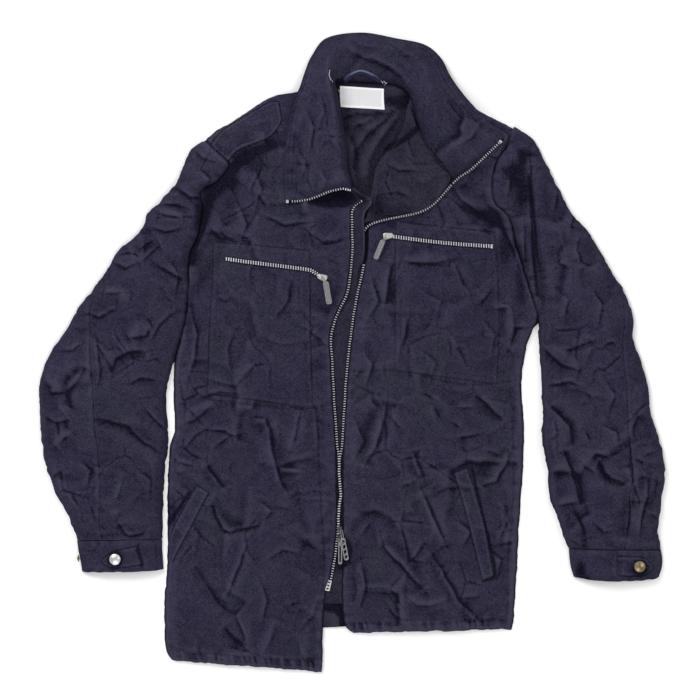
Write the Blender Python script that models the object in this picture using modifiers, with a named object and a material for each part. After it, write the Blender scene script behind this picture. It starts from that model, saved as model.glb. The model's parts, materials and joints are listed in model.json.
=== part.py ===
"""A deck jacket of dark cotton, laid out on its back on a flat surface, its front zip mostly open.

The jacket lies on z = 0 with its collar towards +Y and the wearer's left side towards +X. Every cut
piece is a thin wall: a grid of points lofted through a table of cross sections, thickened by
Solidify. The wearer's sides give the names: the right front lies at -X. Tables are in millimetres.
"""

import math

import bmesh
import bpy
import numpy as np
from mathutils import Matrix, Vector
from mathutils.bvhtree import BVHTree

MM = 0.001

# ---------------------------------------------------------------- driving sizes, in millimetres
CLOTH = 1.6             # a wall of cotton with its turned seams
PATCH = 1.0             # a single layer sewn on a panel
COLLAR_CLOTH = 2.2      # two layers turned over each other
GAP = 0.3               # between pieces that meet at a seam
BACK_CUT = 1.6          # the back lies in the turn of its seams, inside the fronts' edges
EDGE_GAP = 0.6          # between a panel's edge and the zip beside it
LIE = 0.55              # between a piece and the uneven cloth under it
POCKET_LIE = 0.9        # the same under a pocket, which spans the folds
SEAM_CUT = 0.9          # taken off each of two panels at the curved seam that joins them
TAPE_CUT = 1.2          # taken off a front beside the zip
BACK_SKIPS = (17, 23)   # sections of the right front without a partner on the left
FLOOR = CLOTH / 2       # middle of a wall that lies on the floor
ARCH = 0.6              # how full a front swells between its edges
SLEEVE_ARCH = 0.85      # how full a sleeve swells between its edges
EDGE_HOLD = 0.08        # share of a panel's width beside a seam where folds die out

CHAIN_WIDTH = 4.0       # one half of the open front zip
CHAIN_THICK = 2.0
CLOSED_CHAIN_WIDTH = 6.0
SLIDER_LENGTH = 11.0
SLIDER_WIDTH = 9.0
SLIDER_PLATE = 1.0
SLIDER_WEB = 1.1        # the wedge between the two rows of teeth
ARCH_REACH = 2.2        # half the length of the bridge that carries the pull
ARCH_WALL = 0.9
ARCH_WIDTH = 2.4
BAR = 1.2               # side of the pull's square cross bar
EYE_LENGTH = 3.2
PULL_THICK = 1.2
CHEST_PULL = (30.0, 7.0)    # length and width
MAIN_PULL = (31.0, 5.0)
SNAP_RADIUS = 7.8
SNAP_HEIGHT = 2.4

NAVY = (0.031, 0.028, 0.050)
NAVY_INSIDE = (0.026, 0.024, 0.042)


def table(names, rows):
    """A table of sizes: one row to a section or a fold, read by the names of its columns."""
    return dict(zip(names.split(), np.array(rows, float).T))


SECTION = "outer_x outer_y outer_z inner_x inner_y inner_z crown"

FRONT_RIGHT = table(SECTION, [
    (-76, 366, 2.7, -23, 373, 2.7, 1.5),
    (-111, 359, 2.7, -19, 352, 4, 4),
    (-139, 342, 2.7, -15, 330, 4, 6),
    (-167, 324, 2.7, -10, 302, 4, 7),
    (-194, 307, 2.7, -6, 274, 4, 7),
    (-201, 295, 4, -5, 260, 4, 7),
    (-170, 265, 6, -2, 240, 5, 6),
    (-192, 240, 6, 4, 227, 7, 5),
    (-211, 226, 6, 14, 213, 9, 6),
    (-209, 205, 6, -1, 201, 10, 6),
    (-212, 180, 6, -2, 180, 10, 7),
    (-218, 159, 6, -1, 155, 10, 7),
    (-227, 139, 6, -2, 134, 9, 8),
    (-229, 89, 6, -8, 88, 8, 8),
    (-233, 50, 5, -24, 51, 7, 8),
    (-240, 19, 4, -31, 22, 6.4, 9),
    (-247, -13, 2.7, -29, -12, 6.4, 9),
    (-248, -65, 2.7, -27, -65, 6.4, 9),
    (-247, -107, 2.7, -24, -107, 6.4, 9),
    (-254, -135, 2.7, -22, -138, 6.4, 9),
    (-257, -191, 2.7, -21, -191, 6.4, 9),
    (-257, -254, 2.7, -22, -251, 6.4, 8.5),
    (-258, -310, 2.7, -30, -310, 6, 8),
    (-261, -345, 2.7, -38, -342, 5, 7.5),
    (-261, -390, 2.7, -41, -396, 4, 6),
    (-258, -415, 2.7, -41, -429, 3.5, 4.5),
    (-251, -430, 2.7, -43, -446, 3, 2),
])
FRONT_LEFT = table(SECTION, [
    (166, 346, 2.7, 83, 358, 2.7, 2),
    (200, 328, 2.7, 76, 338, 3.5, 4),
    (227, 312, 2.7, 71, 316, 4.5, 6),
    (216, 289, 6, 61, 298, 5.5, 6),
    (204, 268, 6, 46, 279, 6.5, 6),
    (197, 243, 6, 34, 260, 7, 6),
    (200, 211, 6, 29, 229, 6.5, 6),
    (220, 191, 6, 26, 198, 5, 6),
    (232, 150, 6, 23, 170, 4, 8),
    (240, 120, 6, 23, 145, 4, 8),
    (253, 79, 6, 18, 114, 6, 8),
    (261, 52, 5, 9, 75, 6.4, 8),
    (250, 27, 3, 4, 41, 6.4, 9),
    (240, -12, 2.7, -1, 2, 6.4, 9),
    (237, -51, 2.7, -5, -43, 6.4, 9),
    (240, -86, 2.7, -8, -82, 6.4, 9),
    (241, -117, 2.7, -10, -117, 6.4, 9),
    (239, -163, 2.7, -11.5, -163, 6.4, 9),
    (236, -208, 2.7, -11, -208, 6.4, 9),
    (233, -247, 2.7, -11.5, -247, 6.4, 9),
    (232, -275, 2.7, -9, -272, 6, 8),
    (230, -310, 2.7, -12, -306, 5, 7.5),
    (227, -352, 2.7, -12, -351, 5, 6),
    (226, -373, 2.7, -8, -380, 4.6, 4.5),
    (223, -386, 2.7, 4, -391, 3, 2),
])

# A ridge or trough runs from its start to its end, bows sideways and dies out at both ends.
FOLD = "start_x start_y end_x end_y bow width height"

FRONT_RIGHT_FOLDS = table(FOLD, [
    (-194, -205, -125, -238, -16, 11, -3.4),
    (-142, -89, -90, -193, 16, 12, -3.2),
    (-202, -156, -177, -188, -6, 10, -2.6),
    (-145, -261, -177, -345, 8, 11, 2.8),
    (-177, -380, -142, -415, -5, 11, -2.4),
    (-125, -422, -103, -370, 5, 11, 2.2),
    (-240, -102, -191, -70, 10, 10, 2.4),
    (-219, -296, -163, -366, -8, 11, -2.4),
    (-167, 270, -230, 75, 22, 14, -3.2),
    (-156, -35, -134, -16, 4, 10, 2.0),
    (-83, 103, -107, 50, 6, 11, -2.0),
    (-70, -79, -86, -135, 6, 11, 2.4),
])
FRONT_LEFT_FOLDS = table(FOLD, [
    (48, -65, 20, -156, -14, 12, -3.4),
    (84, -135, 98, -174, -6, 10, -2.6),
    (96, -188, 131, -268, 8, 12, 3.0),
    (44, -258, 100, -327, 10, 12, -3.2),
    (110, -279, 177, -373, -10, 12, -3.0),
    (77, -338, 134, -342, -9, 10, 2.2),
    (180, -184, 222, -135, 10, 11, -2.8),
    (74, 129, 135, 133, 4, 10, 2.4),
    (56, 128, 48, 68, 6, 11, -2.4),
    (142, 128, 166, 82, 6, 10, 2.0),
    (247, 41, 219, 5, 8, 10, 3.0),
    (173, -58, 211, -93, -6, 10, -2.2),
    (141, 236, 225, 166, 12, 13, -3.4),
])

SLEEVE = "outer_x outer_y inner_x inner_y inner_z crown seam"

SLEEVE_RIGHT = table(SLEEVE, [
    (-206, 295, -173, 263, 6, 8, 0.04),
    (-225, 283, -175, 257, 6, 10, 0.04),
    (-236, 262, -192, 239, 6, 12, 0.04),
    (-244, 241, -211, 226, 6, 13, 0.04),
    (-268, 212, -209, 205, 6, 14, 0.04),
    (-285, 195, -212, 180, 6, 15, 0.04),
    (-292, 177, -218, 159, 6, 15, 0.04),
    (-324, 145, -227, 139, 6, 16, 0.04),
    (-344, 114, -229, 114, 6, 16, 0.04),
    (-356, 96, -229, 89, 6, 16, 0.05),
    (-384, 61, -233, 50, 5, 16, 0.13),
    (-404, 26, -240, 19, 4, 17, 0.25),
    (-426, -9, -250, -12, 2.7, 17, 0.36),
    (-438, -46, -258, -44, 2.7, 17, 0.43),
    (-436, -79, -260, -76, 2.7, 16, 0.44),
    (-435, -115, -257, -110, 2.7, 16, 0.44),
    (-428, -158, -261, -158, 2.7, 16, 0.46),
    (-411, -200, -264, -202, 2.7, 15, 0.42),
    (-393, -233, -265, -233, 2.7, 14, 0.33),
    (-384, -261, -265, -258, 2.7, 12, 0.31),
])
SLEEVE_LEFT = table(SLEEVE, [
    (234, 314, 229, 310, 6, 4, 0.04),
    (253, 300, 216, 289, 6, 8, 0.04),
    (268, 274, 204, 268, 6, 11, 0.04),
    (282, 246, 197, 243, 6, 13, 0.04),
    (299, 214, 200, 211, 6, 14, 0.04),
    (314, 188, 220, 191, 6, 15, 0.04),
    (340, 158, 232, 150, 6, 15, 0.04),
    (358, 125, 240, 120, 6, 16, 0.04),
    (382, 86, 253, 79, 6, 16, 0.05),
    (393, 52, 261, 52, 5, 16, 0.1),
    (394, 22, 262, 26, 3.5, 16, 0.12),
    (404, -6, 265, -9, 2.7, 16, 0.18),
    (414, -46, 267, -46, 2.7, 16, 0.22),
    (418, -79, 268, -79, 2.7, 16, 0.23),
    (430, -121, 268, -121, 2.7, 16, 0.27),
    (438, -160, 275, -160, 2.7, 16, 0.29),
    (435, -202, 278, -200, 2.7, 15, 0.3),
    (430, -240, 290, -233, 2.7, 14, 0.31),
    (432, -274, 303, -272, 2.7, 12, 0.41),
])

SLEEVE_RIGHT_FOLDS = table(FOLD, [
    (-369, -18, -393, -75, -16, 9, -3.6),
    (-338, -23, -285, -2, 6, 10, -3.0),
    (-310, 22, -279, 40, 5, 10, 3.2),
    (-345, 85, -307, 78, 4, 10, 2.6),
    (-303, 136, -265, 152, 5, 10, -3.0),
    (-268, 190, -233, 186, 4, 10, 3.0),
    (-359, -92, -262, -139, 10, 11, -3.4),
    (-327, -226, -285, -247, -9, 9, -3.0),
    (-412, -130, -391, -108, 4, 9, 2.4),
    (-318, -162, -341, -210, 7, 10, 2.6),
])
SLEEVE_LEFT_FOLDS = table(FOLD, [
    (248, 275, 254, 190, 5, 11, 4.0),
    (238, 186, 262, 52, 12, 9, -3.4),
    (315, 158, 334, 120, 8, 10, -2.8),
    (264, 12, 317, -23, 6, 10, 3.2),
    (275, -74, 305, -130, 12, 10, -3.4),
    (343, -150, 379, -184, -6, 10, -3.2),
    (294, -135, 323, -210, 8, 10, -2.8),
    (410, -170, 380, -258, -10, 10, -3.4),
    (285, -213, 317, -204, 4, 9, 2.6),
    (384, -157, 391, -206, 6, 9, 2.6),
])

CUFF = "outer_x outer_y inner_x inner_y crown"

CUFF_RIGHT = table(CUFF, [
    (-384, -261.7, -265, -258.6, 12),
    (-382, -276, -265, -272, 11),
    (-379, -290, -264, -287, 11),
    (-377, -305, -263, -302, 9),
])
CUFF_LEFT = table(CUFF, [
    (433, -274.7, 304, -272.6, 12),
    (435, -288, 305, -286, 11),
    (434, -300, 307, -299, 11),
    (430, -313, 311, -312, 9),
])

COLLAR = table("neck_x neck_y neck_z roll_x roll_y roll_z edge_x edge_y edge_z", [
    (1, 229, 9, -13, 232, 18, -90, 214, 13),
    (-2, 246, 8, -15, 254, 21, -93, 243, 14),
    (-6, 271, 8, -18, 279, 24, -92, 278, 15),
    (-10, 302, 8, -22, 306, 26, -88, 316, 15),
    (-15, 330, 7, -24, 335, 26, -82, 345, 14),
    (-19, 354, 6.5, -29, 359, 26, -71, 370, 12),
    (-22, 376, 5, -33, 388, 25, -64, 391, 8),
    (-14, 379, 4, -30, 414, 23, -54, 415, 4),
    (-2, 379, 4, -13, 429, 20, -33, 440, 3),
    (20, 378, 4, 23, 428, 18, 15, 447, 3),
    (46, 377, 4, 62, 422, 19, 62, 439, 3),
    (65, 373, 5, 90, 411, 22, 102, 430, 3),
    (80, 361, 7, 104, 388, 25, 124, 411, 5),
    (87, 343, 9, 108, 366, 27, 136, 387, 9),
    (93, 321, 12, 113, 344, 27, 153, 362, 13),
    (102, 299, 14, 120, 318, 26, 172, 340, 15),
    (114, 279, 15, 134, 296, 24, 187, 324, 16),
    (128, 261, 16, 149, 275, 21, 200, 312, 16),
    (141, 244, 16, 162, 255, 18, 209, 300, 15),
])
LAPEL = table("roll_x roll_y roll_z far_x far_y far_z crown", [
    (81, 346, 6.5, 84, 338, 9, 0.5),
    (74, 324, 7.5, 90, 319, 12, 2),
    (62, 299, 9, 99, 297, 13.5, 3),
    (47, 279, 10, 111, 277, 14.5, 4),
    (34, 260, 10.5, 125, 259, 15, 4.5),
    (29, 239, 10.5, 138, 242, 15.5, 5),
    (26, 220, 10, 112, 208, 15, 4),
    (24, 204, 9, 89, 197, 14, 3.5),
    (22, 192, 8.5, 50, 190, 12, 1.5),
])

STRIP = "left_x left_y right_x right_y"

FLY = table(STRIP + " z", [
    (7, 206, 22, 204, 7.6),
    (-2, 192, 19, 192, 7.6),
    (-2, 159, 19, 159, 7.4),
    (-2, 134, 16, 131, 6.4),
    (-5, 114, 9, 117, 5.2),
    (-10, 86, 7, 86, 4.0),
    (-28, 40, 6, 44, 3.2),
    (-34, 12, 5, 8, 2.9),
    (-33, -65, -2, -65, 2.9),
    (-30, -135, -5, -135, 2.9),
    (-27, -205, -5, -205, 2.9),
    (-30, -261, -6, -261, 2.9),
    (-38, -310, -8, -310, 2.9),
    (-43, -349, -9, -349, 2.9),
])
EPAULETTE_RIGHT = table(STRIP, [
    (-198, 291, -172, 268),
    (-181, 312, -156, 284),
    (-156, 328, -132, 293),
    (-131, 343, -113, 302),
    (-113, 352, -103, 313),
    (-101, 352, -97, 326),
])
EPAULETTE_LEFT = table(STRIP, [
    (222, 305, 204, 271),
    (206, 315, 187, 277),
    (183, 330, 165, 290),
    (160, 343, 148, 306),
])
POCKET_RIGHT = table(STRIP, [
    (-193, 157, -58, 144),
    (-195, 100, -57, 88),
    (-199, 30, -56, 10),
    (-201, -38, -54, -60),
    (-203, -56, -52, -77),
])
POCKET_LEFT = table(STRIP, [
    (61, 184, 200, 170),
    (60, 130, 204, 116),
    (60, 60, 206, 45),
    (60, -8, 204, -26),
    (60, -24, 203, -43),
])
WELT_RIGHT = table(STRIP, [
    (-217, -184, -198, -193),
    (-229, -218, -211, -226),
    (-240, -252, -226, -258),
    (-250, -284, -240, -292),
])
WELT_LEFT = table(STRIP, [
    (142, -166, 162, -158),
    (154, -206, 175, -199),
    (166, -252, 188, -250),
    (182, -317, 199, -310),
])
TAB_RIGHT = table(STRIP, [
    (-343, -277, -341, -299),
    (-333, -274, -331, -300),
    (-316, -271, -312, -298),
    (-301, -268, -293, -295),
])
TAB_LEFT = table(STRIP, [
    (371, -287, 371, -306),
    (390, -286, 390, -307),
    (410, -286, 410, -307),
    (419, -291, 419, -303),
])
BACK_NECK = table(STRIP, [
    (-20, 374, 60, 371),
    (-50, 369, 110, 361),
])
BACK_HEM = ((-258.5, -394, 0), (224.5, -369, 0))    # shorter than the fronts, as it lies
LABEL = table(STRIP, [
    (-16, 374, 45, 370),
    (-16, 360, 45, 356),
    (-15, 345, 46, 341),
])
LOOP = table(STRIP, [
    (-12, 383, -9, 378),
    (-1, 392, 2, 386),
    (13, 397, 13, 391),
    (28, 392, 25, 386),
    (42, 382, 39, 377),
])
CHEST_ZIP_RIGHT = table("x y", [(-176, 132), (-142, 127), (-86, 120), (-61, 116), (-49, 111.5)])
CHEST_ZIP_LEFT = table("x y", [(57, 163), (110, 156), (152, 152), (197, 149)])

ZIP_RIGHT_Y = (-317, 204)       # where the teeth of each half begin and end along its front
ZIP_LEFT_Y = (-266, 180)
LAPEL_ZIP_LINE = 10             # grid line of the lapel where its teeth begin
END_PIN = (4.0, 13.0, 2.4)      # the metal end of the right half: width, length, thickness
MAIN_SLIDER_UNDER = 4.1         # height of the undersides of the front zip's sliders
SLIDERS_MAIN = {                # place, heading of the pull, shift of the bridge beside the other pull
    "upper": ((-16.0, -246.0), 0.18, (1.6, 0)),
    "lower": ((-16.4, -258.5), 0.0, (-1.8, 0)),
}
STUD_Y = -286.0
STUD_RADIUS = 4.8

SIDES = {
    "right": {
        "sleeve": SLEEVE_RIGHT, "sleeve_folds": SLEEVE_RIGHT_FOLDS, "epaulette": EPAULETTE_RIGHT,
        "cuff": CUFF_RIGHT, "tab": TAB_RIGHT, "snap": (-329.0, -286.3), "snap_metal": "nickel",
        "pocket": POCKET_RIGHT, "welt": WELT_RIGHT, "chest_zip": CHEST_ZIP_RIGHT,
        "slider": (-43.0, 107.0), "slider_heading": -1.9, "pull_heading": 0.15,
    },
    "left": {
        "sleeve": SLEEVE_LEFT, "sleeve_folds": SLEEVE_LEFT_FOLDS, "epaulette": EPAULETTE_LEFT,
        "cuff": CUFF_LEFT, "tab": TAB_LEFT, "snap": (401.0, -296.5), "snap_metal": "brass",
        "pocket": POCKET_LEFT, "welt": WELT_LEFT, "chest_zip": CHEST_ZIP_LEFT,
        "slider": (50.0, 163.5), "slider_heading": 1.7, "pull_heading": -0.5,
    },
}


# ---------------------------------------------------------------- tables, curves and grids
def smooth(rows, steps):
    """The table's columns on a smooth curve through its rows, `steps` stretches to each pair."""
    values = np.array(list(rows.values())).T
    padded = np.vstack([2 * values[0] - values[1], values, 2 * values[-1] - values[-2]])
    fine = []
    for before, here, after, beyond in zip(padded, padded[1:], padded[2:], padded[3:]):
        for t in np.arange(steps) / steps:
            fine.append(0.5 * (2 * here + (after - before) * t
                               + (2 * before - 5 * here + 4 * after - beyond) * t ** 2
                               + (3 * here - before - 3 * after + beyond) * t ** 3))
    fine.append(values[-1])
    return dict(zip(rows, np.array(fine).T))


def points(rows, end):
    """The points of one named end of a table's rows; an end without a height lies at 0."""
    height = rows.get(end + "_z", np.zeros(len(rows[end + "_x"])))
    return np.stack([rows[end + "_x"], rows[end + "_y"], height], axis=-1)


def across(count):
    """Fractions from one edge of a panel to the other, closer together beside its edges."""
    even = np.linspace(0, 1, count + 1)
    return 0.5 * even + 0.25 * (1 - np.cos(math.pi * even))


def span(start, end, shares):
    """A grid of points on straight lines between two edges."""
    shares = np.asarray(shares)[None, :, None]
    return start[:, None] * (1 - shares) + end[:, None] * shares


def beside(edge, side):
    """Level directions square to an edge: `side` is 1 to the left of its run from above, or -1."""
    run = np.gradient(edge[:, :2], axis=0)
    run /= np.linalg.norm(run, axis=1)[:, None]
    return side * np.column_stack([-run[:, 1], run[:, 0], np.zeros(len(run))])


def trimmed(start, end, cut_start, cut_end):
    """Both edges moved inwards, so that pieces sewn along them stay apart."""
    across_first = end[0] - start[0]
    side = 1 if beside(start, 1)[0] @ across_first > 0 else -1
    return start + beside(start, side) * cut_start, end + beside(end, -side) * cut_end


def folded(grid, folds, hold):
    """The grid with its folds pressed in, less so where `hold` is small."""
    for fold in zip(*folds.values()):
        start_x, start_y, end_x, end_y, bow, width, height = fold
        run = np.array([end_x - start_x, end_y - start_y])
        length = np.linalg.norm(run)
        run /= length
        offset = grid[..., :2] - (start_x, start_y)
        along = np.clip(offset @ run / length, 0, 1)
        aside = offset @ np.array([-run[1], run[0]]) - 4 * bow * along * (1 - along)
        fade = np.sqrt(np.sin(math.pi * along))
        grid[..., 2] += height * hold * fade * np.exp(-(aside / width) ** 2)
    return grid


def front_grid(rows, folds, steps, count):
    """A front: from its shoulder, armhole and side seam to its zip."""
    fine = smooth(rows, steps)
    outer, inner = trimmed(points(fine, "outer"), points(fine, "inner"), SEAM_CUT, TAPE_CUT)
    shares = across(count)
    grid = span(outer, inner, shares)
    grid[..., 2] += fine["crown"][:, None] * np.sin(math.pi * shares) ** ARCH
    hold = np.clip(np.minimum(shares, 1 - shares) / EDGE_HOLD, 0, 1)
    return folded(grid, folds, hold)


def sleeve_height(fine, shares):
    """Height of a sleeve's upper side at shares of its width from the outer fold."""
    swell = (2 * np.sqrt(shares * (1 - shares))) ** SLEEVE_ARCH
    base = FLOOR + (fine["inner_z"][:, None] - FLOOR) * shares
    return base + fine["crown"][:, None] * swell


def sleeve_grids(rows, folds, steps, top_count, wrap_count, floor_count):
    """A sleeve's two pieces: the upper one, and the one round the outer fold and underneath."""
    fine = smooth(rows, steps)
    level = fine | {"inner_z": 0 * fine["inner_z"]}
    outer, inner = trimmed(points(level, "outer"), points(level, "inner"), 0, SEAM_CUT)
    width = np.linalg.norm(inner - outer, axis=1)[:, None]
    seam = fine["seam"][:, None]
    cut = 0.7 * GAP / width
    turn = np.sin(math.pi / 2 * np.linspace(0, 1, top_count + 1))
    top_shares = seam + cut + (1 - seam - cut) * turn
    wrap_shares = (seam - cut) * (1 - np.cos(math.pi / 2 * np.linspace(0, 1, wrap_count + 1)))
    floor_shares = np.linspace(1, 0, floor_count + 1)[None, :-1] * np.ones_like(seam)

    def laid(shares, heights):
        grid = outer[:, None] * (1 - shares[..., None]) + inner[:, None] * shares[..., None]
        grid[..., 2] = heights
        return grid

    top = laid(top_shares, sleeve_height(fine, top_shares))
    top = folded(top, folds, np.clip((1 - top_shares) / EDGE_HOLD, 0, 1))
    wrap = laid(wrap_shares, sleeve_height(fine, wrap_shares))
    wrap = folded(wrap, folds, np.clip(wrap_shares / EDGE_HOLD, 0, 1))
    floor = laid(floor_shares, FLOOR)
    return top, np.concatenate([floor, wrap], axis=1)


def cuff_grid(rows, steps, top_count, floor_count):
    """A cuff: rings round the sleeve's end, flat where they lie on the floor."""
    fine = smooth(rows, steps)
    outer, inner = points(fine, "outer"), points(fine, "inner")
    shares = (1 - np.cos(np.linspace(0, math.pi, top_count + 1))) / 2
    top = span(outer, inner, shares)
    swell = (2 * np.sqrt(shares * (1 - shares))) ** SLEEVE_ARCH
    top[..., 2] = FLOOR + fine["crown"][:, None] * swell
    floor = span(inner, outer, np.linspace(0, 1, floor_count + 1)[1:-1])
    floor[..., 2] = FLOOR
    return np.concatenate([top, floor], axis=1)


def collar_grid(rows, steps, stand_count, leaf_count):
    """The collar: it stands up from the neck seam, rolls over and falls to its outer edge."""
    fine = smooth(rows, steps)
    neck, roll, edge = (points(fine, end) for end in ("neck", "roll", "edge"))
    stand = np.linspace(0, 1, stand_count + 1)[:, None]
    leaf = np.linspace(0, 1, leaf_count + 1)[1:, None]
    lines = []
    for base, top, rim in zip(neck, roll, edge):
        rise = base + (top - base) * np.hstack([stand ** 1.3, stand ** 1.3, 1 - (1 - stand) ** 1.6])
        fall = top + (rim - top) * np.hstack([leaf, leaf, leaf ** 1.5])
        lines.append(np.vstack([rise, fall]))
    return np.array(lines)


def strip_grid(rows, steps, count):
    """A narrow piece between its left and right edges."""
    fine = smooth(rows, steps)
    grid = span(points(fine, "left"), points(fine, "right"), np.linspace(0, 1, count + 1))
    if "z" in fine:
        grid[..., 2] = fine["z"][:, None]
    return grid


def edge_grid(edge, side, width):
    """A strip along an edge, on the given side of its run."""
    out = beside(edge, side)
    return np.stack([edge + out * EDGE_GAP, edge + out * (EDGE_GAP + width)], axis=1)


def line_grid(rows, steps, width):
    """A strip of even width along a line of places."""
    fine = smooth(rows, steps)
    line = np.stack([fine["x"], fine["y"], 0 * fine["x"]], axis=-1)
    strip = edge_grid(line, 1, width)
    strip[..., :2] -= (strip[:, 1:2, :2] + strip[:, 0:1, :2]) / 2 - line[:, None, :2]
    return strip


# ---------------------------------------------------------------- Blender pieces
def clear_scene():
    for item in list(bpy.data.objects):
        bpy.data.objects.remove(item, do_unlink=True)


def collection(name):
    made = bpy.data.collections.new(name)
    bpy.context.scene.collection.children.link(made)
    return made


def material(name, colour, roughness, metallic=0.0):
    made = bpy.data.materials.new(name)
    made.use_nodes = True
    shader = made.node_tree.nodes["Principled BSDF"]
    shader.inputs["Base Color"].default_value = (*colour, 1)
    shader.inputs["Roughness"].default_value = roughness
    shader.inputs["Metallic"].default_value = metallic
    made.diffuse_color = (*colour, 1)
    return made


def place(name, mesh, finish, where):
    item = bpy.data.objects.new(name, mesh)
    mesh.materials.append(finish)
    where.objects.link(item)
    return item


def wall(name, grid, thick, finish, where, ring=False):
    """A thin wall whose middle runs through the grid; with `ring` its last column meets the first."""
    lines, count = grid.shape[:2]
    faces = []
    for line in range(lines - 1):
        for column in range(count if ring else count - 1):
            after = (column + 1) % count
            here, below = line * count, (line + 1) * count
            faces.append((here + column, below + column, below + after, here + after))
    mesh = bpy.data.meshes.new(name)
    mesh.from_pydata((grid.reshape(-1, 3) * MM).tolist(), [], faces)
    mesh.shade_smooth()
    item = place(name, mesh, finish, where)
    solid = item.modifiers.new("Wall", "SOLIDIFY")
    solid.thickness = thick * MM
    solid.offset = 0
    return item


def surface(items):
    """A search tree over the pieces as built, for what is laid on them."""
    graph = bpy.context.evaluated_depsgraph_get()
    corners, faces = [], []
    for item in items:
        mesh = item.evaluated_get(graph).to_mesh()
        first = len(corners)
        corners += [vertex.co.copy() for vertex in mesh.vertices]
        faces += [[first + corner for corner in face.vertices] for face in mesh.polygons]
    return BVHTree.FromPolygons(corners, faces)


def top_height(tree, x, y, reach):
    """Height in millimetres of the uppermost cloth at and just beside a place."""
    heights = []
    for step_x, step_y in ((0, 0), (reach, 0), (-reach, 0), (0, reach), (0, -reach)):
        above = Vector(((x + step_x) * MM, (y + step_y) * MM, 1))
        hit = tree.ray_cast(above, Vector((0, 0, -1)))[0]
        if hit:
            heights.append(hit.z / MM)
    return max(heights, default=0.0)


def laid_on(grid, tree, lift, reach=4.0):
    """The grid with its points raised where they would lie in the cloth under them."""
    flat = grid.reshape(-1, 3).copy()
    for point in flat:
        point[2] = max(point[2], top_height(tree, point[0], point[1], reach) + lift)
    return flat.reshape(grid.shape)


def prism(name, outline, depth, plane, finish, where):
    """A flat outline given depth: drawn in (across, up) for plane "XZ", (along, up) for "YZ"."""
    work = bmesh.new()
    half = depth / 2
    if plane == "XZ":
        corners = [work.verts.new((a * MM, -half * MM, b * MM)) for a, b in outline]
        push = Vector((0, depth * MM, 0))
    else:
        corners = [work.verts.new((-half * MM, a * MM, b * MM)) for a, b in outline]
        push = Vector((depth * MM, 0, 0))
    face = work.faces.new(corners)
    grown = bmesh.ops.extrude_face_region(work, geom=[face])["geom"]
    bmesh.ops.translate(work, vec=push, verts=[v for v in grown if isinstance(v, bmesh.types.BMVert)])
    bmesh.ops.recalc_face_normals(work, faces=work.faces)
    mesh = bpy.data.meshes.new(name)
    work.to_mesh(mesh)
    work.free()
    return place(name, mesh, finish, where)


def unite(item, other):
    """Fuses another solid into the item and keeps it out of sight."""
    join = item.modifiers.new("Join", "BOOLEAN")
    join.operation = "UNION"
    join.solver = "EXACT"
    join.object = other
    other.hide_render = True
    other.display_type = "WIRE"


def slider(name, at, under, web, heading, pull_heading, arch_shift, finish, where, helpers):
    """A zip's slider, with the bridge that its pull hangs on.

    `under` is the height of its underside and `web` the room between its plates, 0 for a solid one.
    Returns the place of the pull's cross bar.
    """
    half, thin, core = SLIDER_WIDTH / 2, SLIDER_PLATE, SLIDER_WEB / 2
    top = 2 * thin + web if web else 3 * thin
    if web:
        outline = [(-half, 0), (half, 0), (half, thin), (core, thin), (core, thin + web),
                   (half, thin + web), (half, top), (-half, top), (-half, thin + web),
                   (-core, thin + web), (-core, thin), (-half, thin)]
    else:
        outline = [(-half, 0), (half, 0), (half, top), (-half, top)]
    body = prism(name, outline, SLIDER_LENGTH, "XZ", finish, where)
    body.location = (at[0] * MM, at[1] * MM, under * MM)
    body.rotation_euler.z = heading
    foot, inside = ARCH_REACH, ARCH_REACH - ARCH_WALL
    clear, crest = top + 2 * BAR, top + 2 * BAR + ARCH_WALL
    arch = [(-foot, top - 0.3), (-inside, top - 0.3), (-inside, clear), (inside, clear),
            (inside, top - 0.3), (foot, top - 0.3), (foot, crest), (-foot, crest)]
    bridge = prism(name + "_bridge", arch, ARCH_WIDTH, "YZ", finish, helpers)
    bar = Vector((at[0] + arch_shift[0], at[1] + arch_shift[1], under + top + BAR))
    bridge.location = (bar.x * MM, bar.y * MM, under * MM)
    bridge.rotation_euler.z = pull_heading
    unite(body, bridge)
    return bar


def pull(name, bar, heading, tilt, length, width, finish, where):
    """A pull tab: a flat bar with an eye whose end bar turns under the slider's bridge.

    It points along -Y of its own axes, and turns about its own X at the middle of the end bar.
    """
    half = width / 2
    eye_half = ARCH_WIDTH / 2 + GAP + 0.1
    outer = [(-half, BAR / 2), (half, BAR / 2), (half, -length + half),
             (half * 0.7, -length + half * 0.3), (0, -length),
             (-half * 0.7, -length + half * 0.3), (-half, -length + half)]
    eye = [(-eye_half, -BAR / 2), (eye_half, -BAR / 2), (eye_half, -BAR / 2 - EYE_LENGTH),
           (-eye_half, -BAR / 2 - EYE_LENGTH)]
    flat = bpy.data.curves.new(name, "CURVE")
    flat.dimensions = "2D"
    flat.fill_mode = "BOTH"
    flat.extrude = PULL_THICK / 2 * MM
    for outline in (outer, eye):
        spline = flat.splines.new("POLY")
        spline.points.add(len(outline) - 1)
        for point, (x, y) in zip(spline.points, outline):
            point.co = (x * MM, y * MM, 0, 1)
        spline.use_cyclic_u = True
    flat.materials.append(finish)
    item = bpy.data.objects.new(name, flat)
    where.objects.link(item)
    item.matrix_world = (Matrix.Translation(bar * MM) @ Matrix.Rotation(heading, 4, "Z")
                         @ Matrix.Rotation(tilt, 4, "X"))
    weld = item.modifiers.new("Weld", "WELD")
    weld.merge_threshold = 0.00001
    return item


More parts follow.
